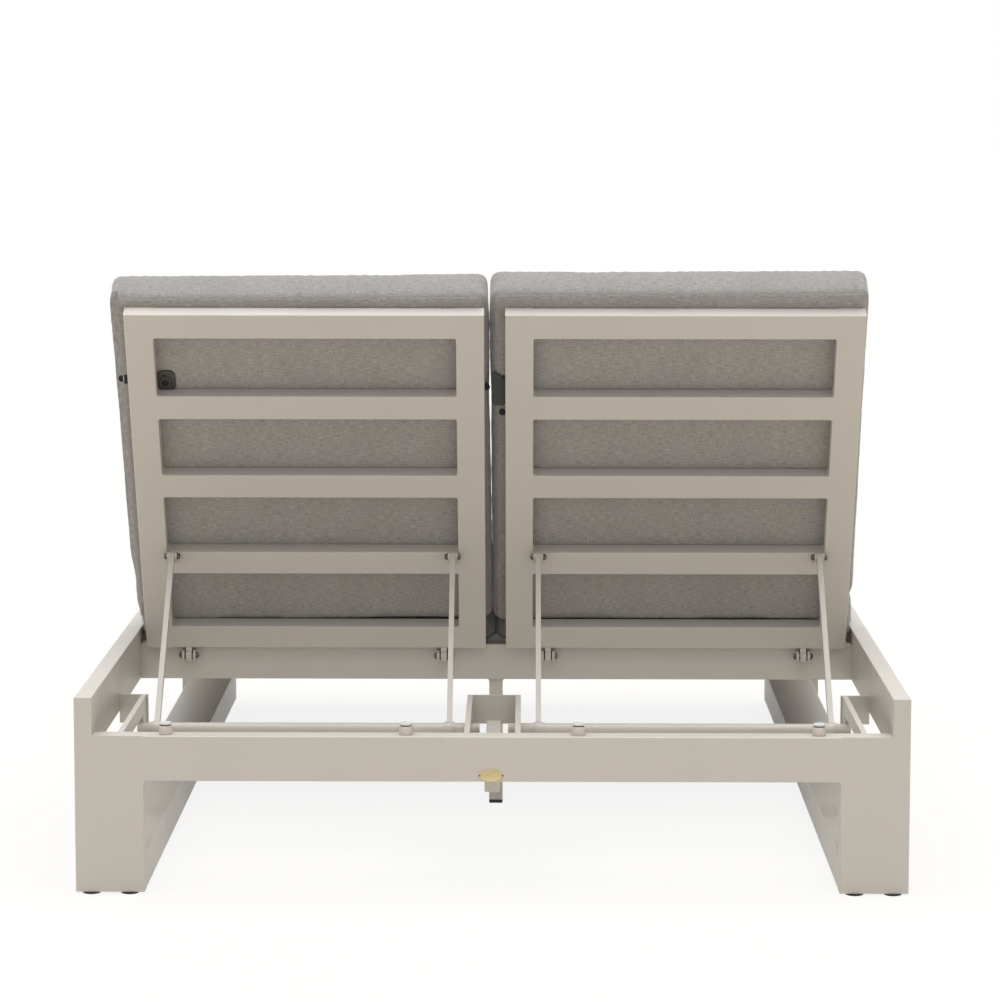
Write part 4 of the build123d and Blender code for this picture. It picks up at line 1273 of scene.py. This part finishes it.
class LOUNGER_OT_hinges(bpy.types.Operator):
    """Makes the knuckles that the backrests turn on, each between two dark rings that paint the shade in the gaps
    to its ears
    """

    bl_idname = "lounger.hinges"
    bl_label = "Hinges"

    def execute(self, context):
        coat = bpy.data.materials["baked_powder_coat_on_aluminium"]
        rubber = bpy.data.materials["moulded_black_rubber"]
        for side in OUTWARD:
            low, high = box_of(f"hinge_ears_{side}")
            grip = HINGE_BOLT[0]
            knuckles, washers = [], []
            for x in (low.x + grip, high.x - grip):
                place = Matrix.Translation((x, HINGE.y, HINGE.z)) @ Matrix.Rotation(math.pi / 2, 4, "Y")
                knuckle, pair = self.knuckle(x, place), self.washers(place)
                knuckles.append(knuckle)
                washers.append(pair)
            knuckles = join(f"hinge_knuckles_{side}", knuckles)
            washers = join(f"hinge_washers_{side}", washers)
            for piece in (knuckles, washers):
                smooth(piece)
                piece.data.transform(RAISE)
            body = f"backrest_{side}"
            dress(knuckles, coat, body, (f"backrest_knuckles_{side}",))
            # The rings are black rubber only to paint the shade in the gaps beside each knuckle
            dress(washers, rubber, body)
        return {"FINISHED"}

    def knuckle(self, x, place):
        """A barrel round the bolt, on a root that widens up to the bottom rail."""
        barrel = turned("barrel", [
            (BARREL_RADIUS - 0.6 * MM, -BARREL_HALF), (BARREL_RADIUS, -BARREL_HALF + 0.6 * MM),
            (BARREL_RADIUS, BARREL_HALF - 0.6 * MM), (BARREL_RADIUS - 0.6 * MM, BARREL_HALF),
        ])
        barrel.data.transform(place)
        rail_low, rail_high = flat_box("backrest_bottom_rail_left")
        root = add_block(
            "root", (x - BARREL_HALF, rail_high.y - 0.5 * MM, rail_low.z),
            (x + BARREL_HALF, HINGE.y, rail_low.z + ROOT_HEIGHT),
        )
        for vertex in root.data.vertices:
            if vertex.co.y > rail_high.y:
                above = vertex.co.z - rail_low.z - ROOT_HEIGHT / 2
                vertex.co.z = HINGE.z + math.copysign(BARREL_RADIUS * 0.97, above)
        soften(root, 0.6 * MM)
        return join("knuckle", [barrel, root])

    def washers(self, place):
        """The two dark rings between a knuckle and its ears, which paint the shade in the gaps there."""
        rings = []
        for sign in (-1, 1):
            ends = sorted((sign * BARREL_HALF, sign * EARS_HALF))
            ring = turned("washer", [
                (GAP_SHADE_RADIUS - 0.4 * MM, ends[0]), (GAP_SHADE_RADIUS, ends[0] + 0.5 * MM),
                (GAP_SHADE_RADIUS, ends[1] - 0.5 * MM), (GAP_SHADE_RADIUS - 0.4 * MM, ends[1]),
            ])
            ring.data.transform(place)
            rings.append(ring)
        return join("washers", rings)


class LOUNGER_OT_bumpers(bpy.types.Operator):
    """Makes the bumpers on the head beam, each with a white pad over a groove whose black neck paints the groove's
    shade
    """

    bl_idname = "lounger.bumpers"
    bl_label = "Bumpers"

    def execute(self, context):
        low, high = box_of("rest_bumpers")
        middles = self.middles()
        base, top = low.z, high.z
        radius = BUMPER_RADIUS
        depth, width = BUMPER_GROOVE
        pad = top - BUMPER_PAD
        bodies, necks, pads = [], [], []
        for x in middles:
            place = Matrix.Translation((x, (low.y + high.y) / 2, 0))
            body = turned("bumper", [
                (radius * 0.96, base), (radius, base + 0.8 * MM), (radius, pad - width - 0.6 * MM),
                (radius * 0.95, pad - width), (radius * 0.5, pad - width),
            ])
            neck = turned("neck", [
                (radius - depth, pad - width - 0.2 * MM), (radius - depth, pad + 0.2 * MM),
                (radius * 0.5, pad + 0.4 * MM),
            ])
            cap = turned("pad", [
                (radius * 0.5, pad), (radius * 0.93, pad), (radius * 0.97, pad + 0.6 * MM),
                (radius * 0.97, top - 1 * MM), (radius * 0.88, top - 0.1 * MM), (radius * 0.7, top),
            ])
            for piece, group in ((body, bodies), (neck, necks), (cap, pads)):
                piece.data.transform(place)
                group.append(piece)
        posts = join("bumper_posts", bodies)
        groove_shade_necks = join("bumper_necks", necks)
        caps = join("bumper_pads", pads)
        for piece in (posts, groove_shade_necks, caps):
            smooth(piece)
        # The necks are black rubber to paint the shade in the groove under each pad
        dress(groove_shade_necks, bpy.data.materials["moulded_black_rubber"], "frame")
        beige = milky_nylon("milky_beige_nylon", "#C9BFB5", "#D6CDC4")
        white = milky_nylon("milky_white_nylon", "#C0C0BF", "#CECECD")
        dress(posts, beige, "frame", ("rest_bumpers",))
        dress(caps, white, "frame")
        return {"FINISHED"}

    def middles(self):
        """The middles of the four bumpers along X, from the CAD's own mesh."""
        xs = sorted(vertex.co.x for vertex in frame["nodes"]["rest_bumpers"].data.vertices)
        groups = [[xs[0]]]
        for x in xs[1:]:
            if x - groups[-1][-1] > BUMPER_RADIUS:
                groups.append([])
            groups[-1].append(x)
        return [(group[0] + group[-1]) / 2 for group in groups]


class LOUNGER_OT_straps(bpy.types.Operator):
    """Makes the straps that hold the back cushions, with the fittings at their ends"""

    bl_idname = "lounger.straps"
    bl_label = "Straps"

    def execute(self, context):
        black = webbing("ribbed_black_webbing", "#161514", "#2B2927")
        grey = webbing("ribbed_grey_webbing", "#8B8680", "#A5A099")
        acetal = moulded_acetal()
        rail_low, rail_high = flat_box("backrest_bottom_rail_left")
        deck = rail_high.z
        strap_y = rail_high.y - STRAP_UP - STRAP_WIDTH / 2
        for side, outward in OUTWARD.items():
            cover = bpy.data.objects[f"back_cushion_cover_{side}"]
            cover.data.transform(LOWER)
            surface = surface_of(cover)
            cover.data.transform(RAISE)
            low, high = flat_box(f"back_cushion_{side}")
            inner, outer = (high.x, low.x) if outward < 0 else (low.x, high.x)
            window_outer, window_inner = outward * -rail_low.x, outward * -rail_high.x

            def spot(x, aside=0, along=0):
                """A place on the strap's line, moved outward and toward the hinge."""
                return Vector((x + outward * aside, strap_y + along, deck))

            bands = [
                ribbon("band", surface, spot(near), spot(far, aside), STRAP_WIDTH)
                for near, far, aside in ((window_outer, outer, -2 * MM), (window_inner, inner, 2 * MM))
            ]
            band = join(f"strap_bands_{side}", bands)
            ends = (spot(outer, aside, 15 * MM) for aside in (-20 * MM, 3 * MM))
            strip = ribbon(f"strap_keeper_{side}", surface, *ends, KEEPER_WIDTH)
            if side == "left":
                fitting, well = self.buckle(spot(window_outer) + BUCKLE_PLACE)
                knobs = ((outer, OUTER_KNOB_PLACE), (inner, INNER_KNOB_PLACE))
                buttons = [well] + [self.knob(spot(x) + place) for x, place in knobs]
            else:
                fitting, button = self.flap(spot(inner) + FLAP_PLACE)
                buttons = [button]
            fitting.name = fitting.data.name = f"strap_fitting_{side}"
            buttons = join(f"strap_buttons_{side}", buttons)
            for piece in (fitting, buttons):
                smooth(piece)
            for piece in (band, strip, fitting, buttons):
                piece.data.transform(RAISE)
            body = f"backrest_{side}"
            dress(band, black, body, (f"cushion_straps_{side}",))
            dress(strip, grey, body)
            dress(fitting, acetal, body)
            # On the left the buttons hold the knobs and the dark disc that paints the shade in the buckle's hole
            dress(buttons, bpy.data.materials["moulded_black_rubber"], body)
        return {"FINISHED"}

    def buckle(self, place):
        """A rounded plate with a raised knob that has a hole in it, and a dark disc in the hole that paints its
        shade.
        """
        width, length, thickness = BUCKLE_SIZE
        half = Vector((width / 2, length / 2, 0))
        plate = slab("buckle", place - half - Vector((0, 0, thickness)), place + half, 13 * MM, 1.4 * MM)
        boss = turned("boss", [
            (12 * MM, -1 * MM), (12 * MM, 2.2 * MM), (10.5 * MM, 3.6 * MM), (BUCKLE_HOLE, 3.6 * MM),
            (BUCKLE_HOLE * 0.9, 0.4 * MM), (BUCKLE_HOLE * 0.5, 0.2 * MM)], 40)
        behind = place - Vector((0, 0, thickness))
        boss.data.transform(Matrix.Translation(behind + HOLE_PLACE) @ Matrix.Rotation(math.pi, 4, "X"))
        slot = turned("slot", [(2.6 * MM, -9 * MM), (2.6 * MM, 9 * MM)], 20)
        slot.data.transform(Matrix.Translation(behind + SLOT_PLACE))
        cut_away(plate, slot)
        # A black disc sunk in the hole: painted shade at the bottom of the recess
        well = turned("well", [
            (BUCKLE_HOLE * 0.8, -1.4 * MM), (BUCKLE_HOLE * 0.92, -0.7 * MM), (BUCKLE_HOLE * 0.6, 0)], 28)
        well.data.transform(Matrix.Translation(behind + HOLE_PLACE))
        return join("buckle", [plate, boss]), well

    def flap(self, place):
        """A flap that hangs from the strap, with a knob at its lower end."""
        width, length, thickness = FLAP_SIZE
        half = Vector((width / 2, length / 2, 0))
        plate = slab("flap", place - half - Vector((0, 0, thickness)), place + half, 6 * MM, 1 * MM)
        for vertex in plate.data.vertices:
            if vertex.co.y < place.y:
                vertex.co.y += (vertex.co.x - place.x) * FLAP_SLOPE
        return plate, self.knob(place + Vector((0, length / 2, 0)) + FLAP_KNOB_PLACE)

    def knob(self, place):
        """A small round button, waisted under its head."""
        radius = KNOB_RADIUS
        knob = turned("knob", [
            (radius * 0.8, -1 * MM), (radius * 0.6, 1.5 * MM), (radius * 0.62, 3 * MM), (radius, 4 * MM),
            (radius, 6 * MM), (radius * 0.8, 7.6 * MM), (radius * 0.4, 8.2 * MM)], 28)
        knob.data.transform(Matrix.Translation(place) @ Matrix.Rotation(math.pi, 4, "X"))
        return knob


class LOUNGER_OT_plaque(bpy.types.Operator):
    """Makes the bare oval plaque on the head beam, with its two rivets"""

    bl_idname = "lounger.plaque"
    bl_label = "Plaque"

    def execute(self, context):
        face_y = box_of("head_beam")[0].y
        width, height, thickness = PLAQUE_SIZE
        plate = add_disc("plaque", 0.5, (0, 0, 0), sides=64)
        plate.data.transform(Matrix.Diagonal((width, height, 1, 1)))
        make_active(plate)
        bpy.ops.object.mode_set(mode="EDIT")
        bpy.ops.mesh.select_all(action="SELECT")
        bpy.ops.mesh.extrude_region_move(TRANSFORM_OT_translate={"value": (0, 0, thickness)})
        select_where(
            plate, "faces",
            lambda face: face.normal.z > 0.9 and face.calc_center_median().z > thickness / 2,
        )
        bpy.ops.mesh.inset(thickness=PLAQUE_RIM)
        bpy.ops.mesh.extrude_region_move(TRANSFORM_OT_translate={"value": (0, 0, -thickness * 0.4)})
        face_outward()
        soften(plate, 0.15 * MM)
        rivets = []
        for sign in (-1, 1):
            rivet = turned("rivet", [
                (RIVET_RADIUS, 0), (RIVET_RADIUS, thickness), (RIVET_RADIUS * 0.8, thickness + 0.7 * MM),
                (RIVET_RADIUS * 0.4, thickness + 1 * MM)], 20)
            rivet.data.transform(Matrix.Translation((sign * (width / 2 - RIVET_INSET), 0, 0)))
            rivets.append(rivet)
        rivets = join("plaque_rivets", rivets)
        place = (PLAQUE_CENTER[0], face_y, PLAQUE_CENTER[1])
        turn = Matrix.Translation(place) @ Matrix.Rotation(math.pi / 2, 4, "X")
        for piece in (plate, rivets):
            piece.data.transform(turn)
            smooth(piece)
        dress(plate, brushed_brass(), "frame")
        dress(rivets, bpy.data.materials["blackened_steel"], "frame")
        return {"FINISHED"}


STEPS = (
    ("stage", "Stage"),
    ("frame", "Frame"),
    ("feet", "Feet"),
    ("back_cushions", "Back cushions"),
    ("seat_cushions", "Seat cushions"),
    ("straps", "Straps"),
    ("bolts", "Bolts"),
    ("hinges", "Hinges"),
    ("bumpers", "Bumpers"),
    ("plaque", "Plaque"),
)


class LOUNGER_PT_panel(bpy.types.Panel):
    """Lists the steps that build the lounger"""

    bl_idname = "LOUNGER_PT_panel"
    bl_label = "Double chaise lounger"
    bl_space_type = "VIEW_3D"
    bl_region_type = "UI"
    bl_category = "Lounger"

    def draw(self, context):
        for step, label in STEPS:
            self.layout.operator(f"lounger.{step}", text=label)
        for group in ("colours", "sizes", "view"):
            values = getattr(context.scene.lounger, group)
            box = self.layout.box()
            for name in values.bl_rna.properties.keys():
                if name not in ("rna_type", "name"):
                    box.prop(values, name)


CLASSES = (
    LoungerColours,
    LoungerSizes,
    LoungerView,
    LoungerSettings,
    LOUNGER_OT_stage,
    LOUNGER_OT_frame,
    LOUNGER_OT_feet,
    LOUNGER_OT_back_cushions,
    LOUNGER_OT_seat_cushions,
    LOUNGER_OT_straps,
    LOUNGER_OT_bolts,
    LOUNGER_OT_hinges,
    LOUNGER_OT_bumpers,
    LOUNGER_OT_plaque,
    LOUNGER_PT_panel,
)


def register():
    """Adds the classes, and the settings to the scene."""
    for item in CLASSES:
        bpy.utils.register_class(item)
    bpy.types.Scene.lounger = PointerProperty(type=LoungerSettings)


def unregister():
    """Takes the settings and the classes away again."""
    del bpy.types.Scene.lounger
    for item in reversed(CLASSES):
        bpy.utils.unregister_class(item)


def main():
    """Registers the add-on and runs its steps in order."""
    register()
    for step, _ in STEPS:
        getattr(bpy.ops.lounger, step)()


if __name__ == "__main__":
    main()
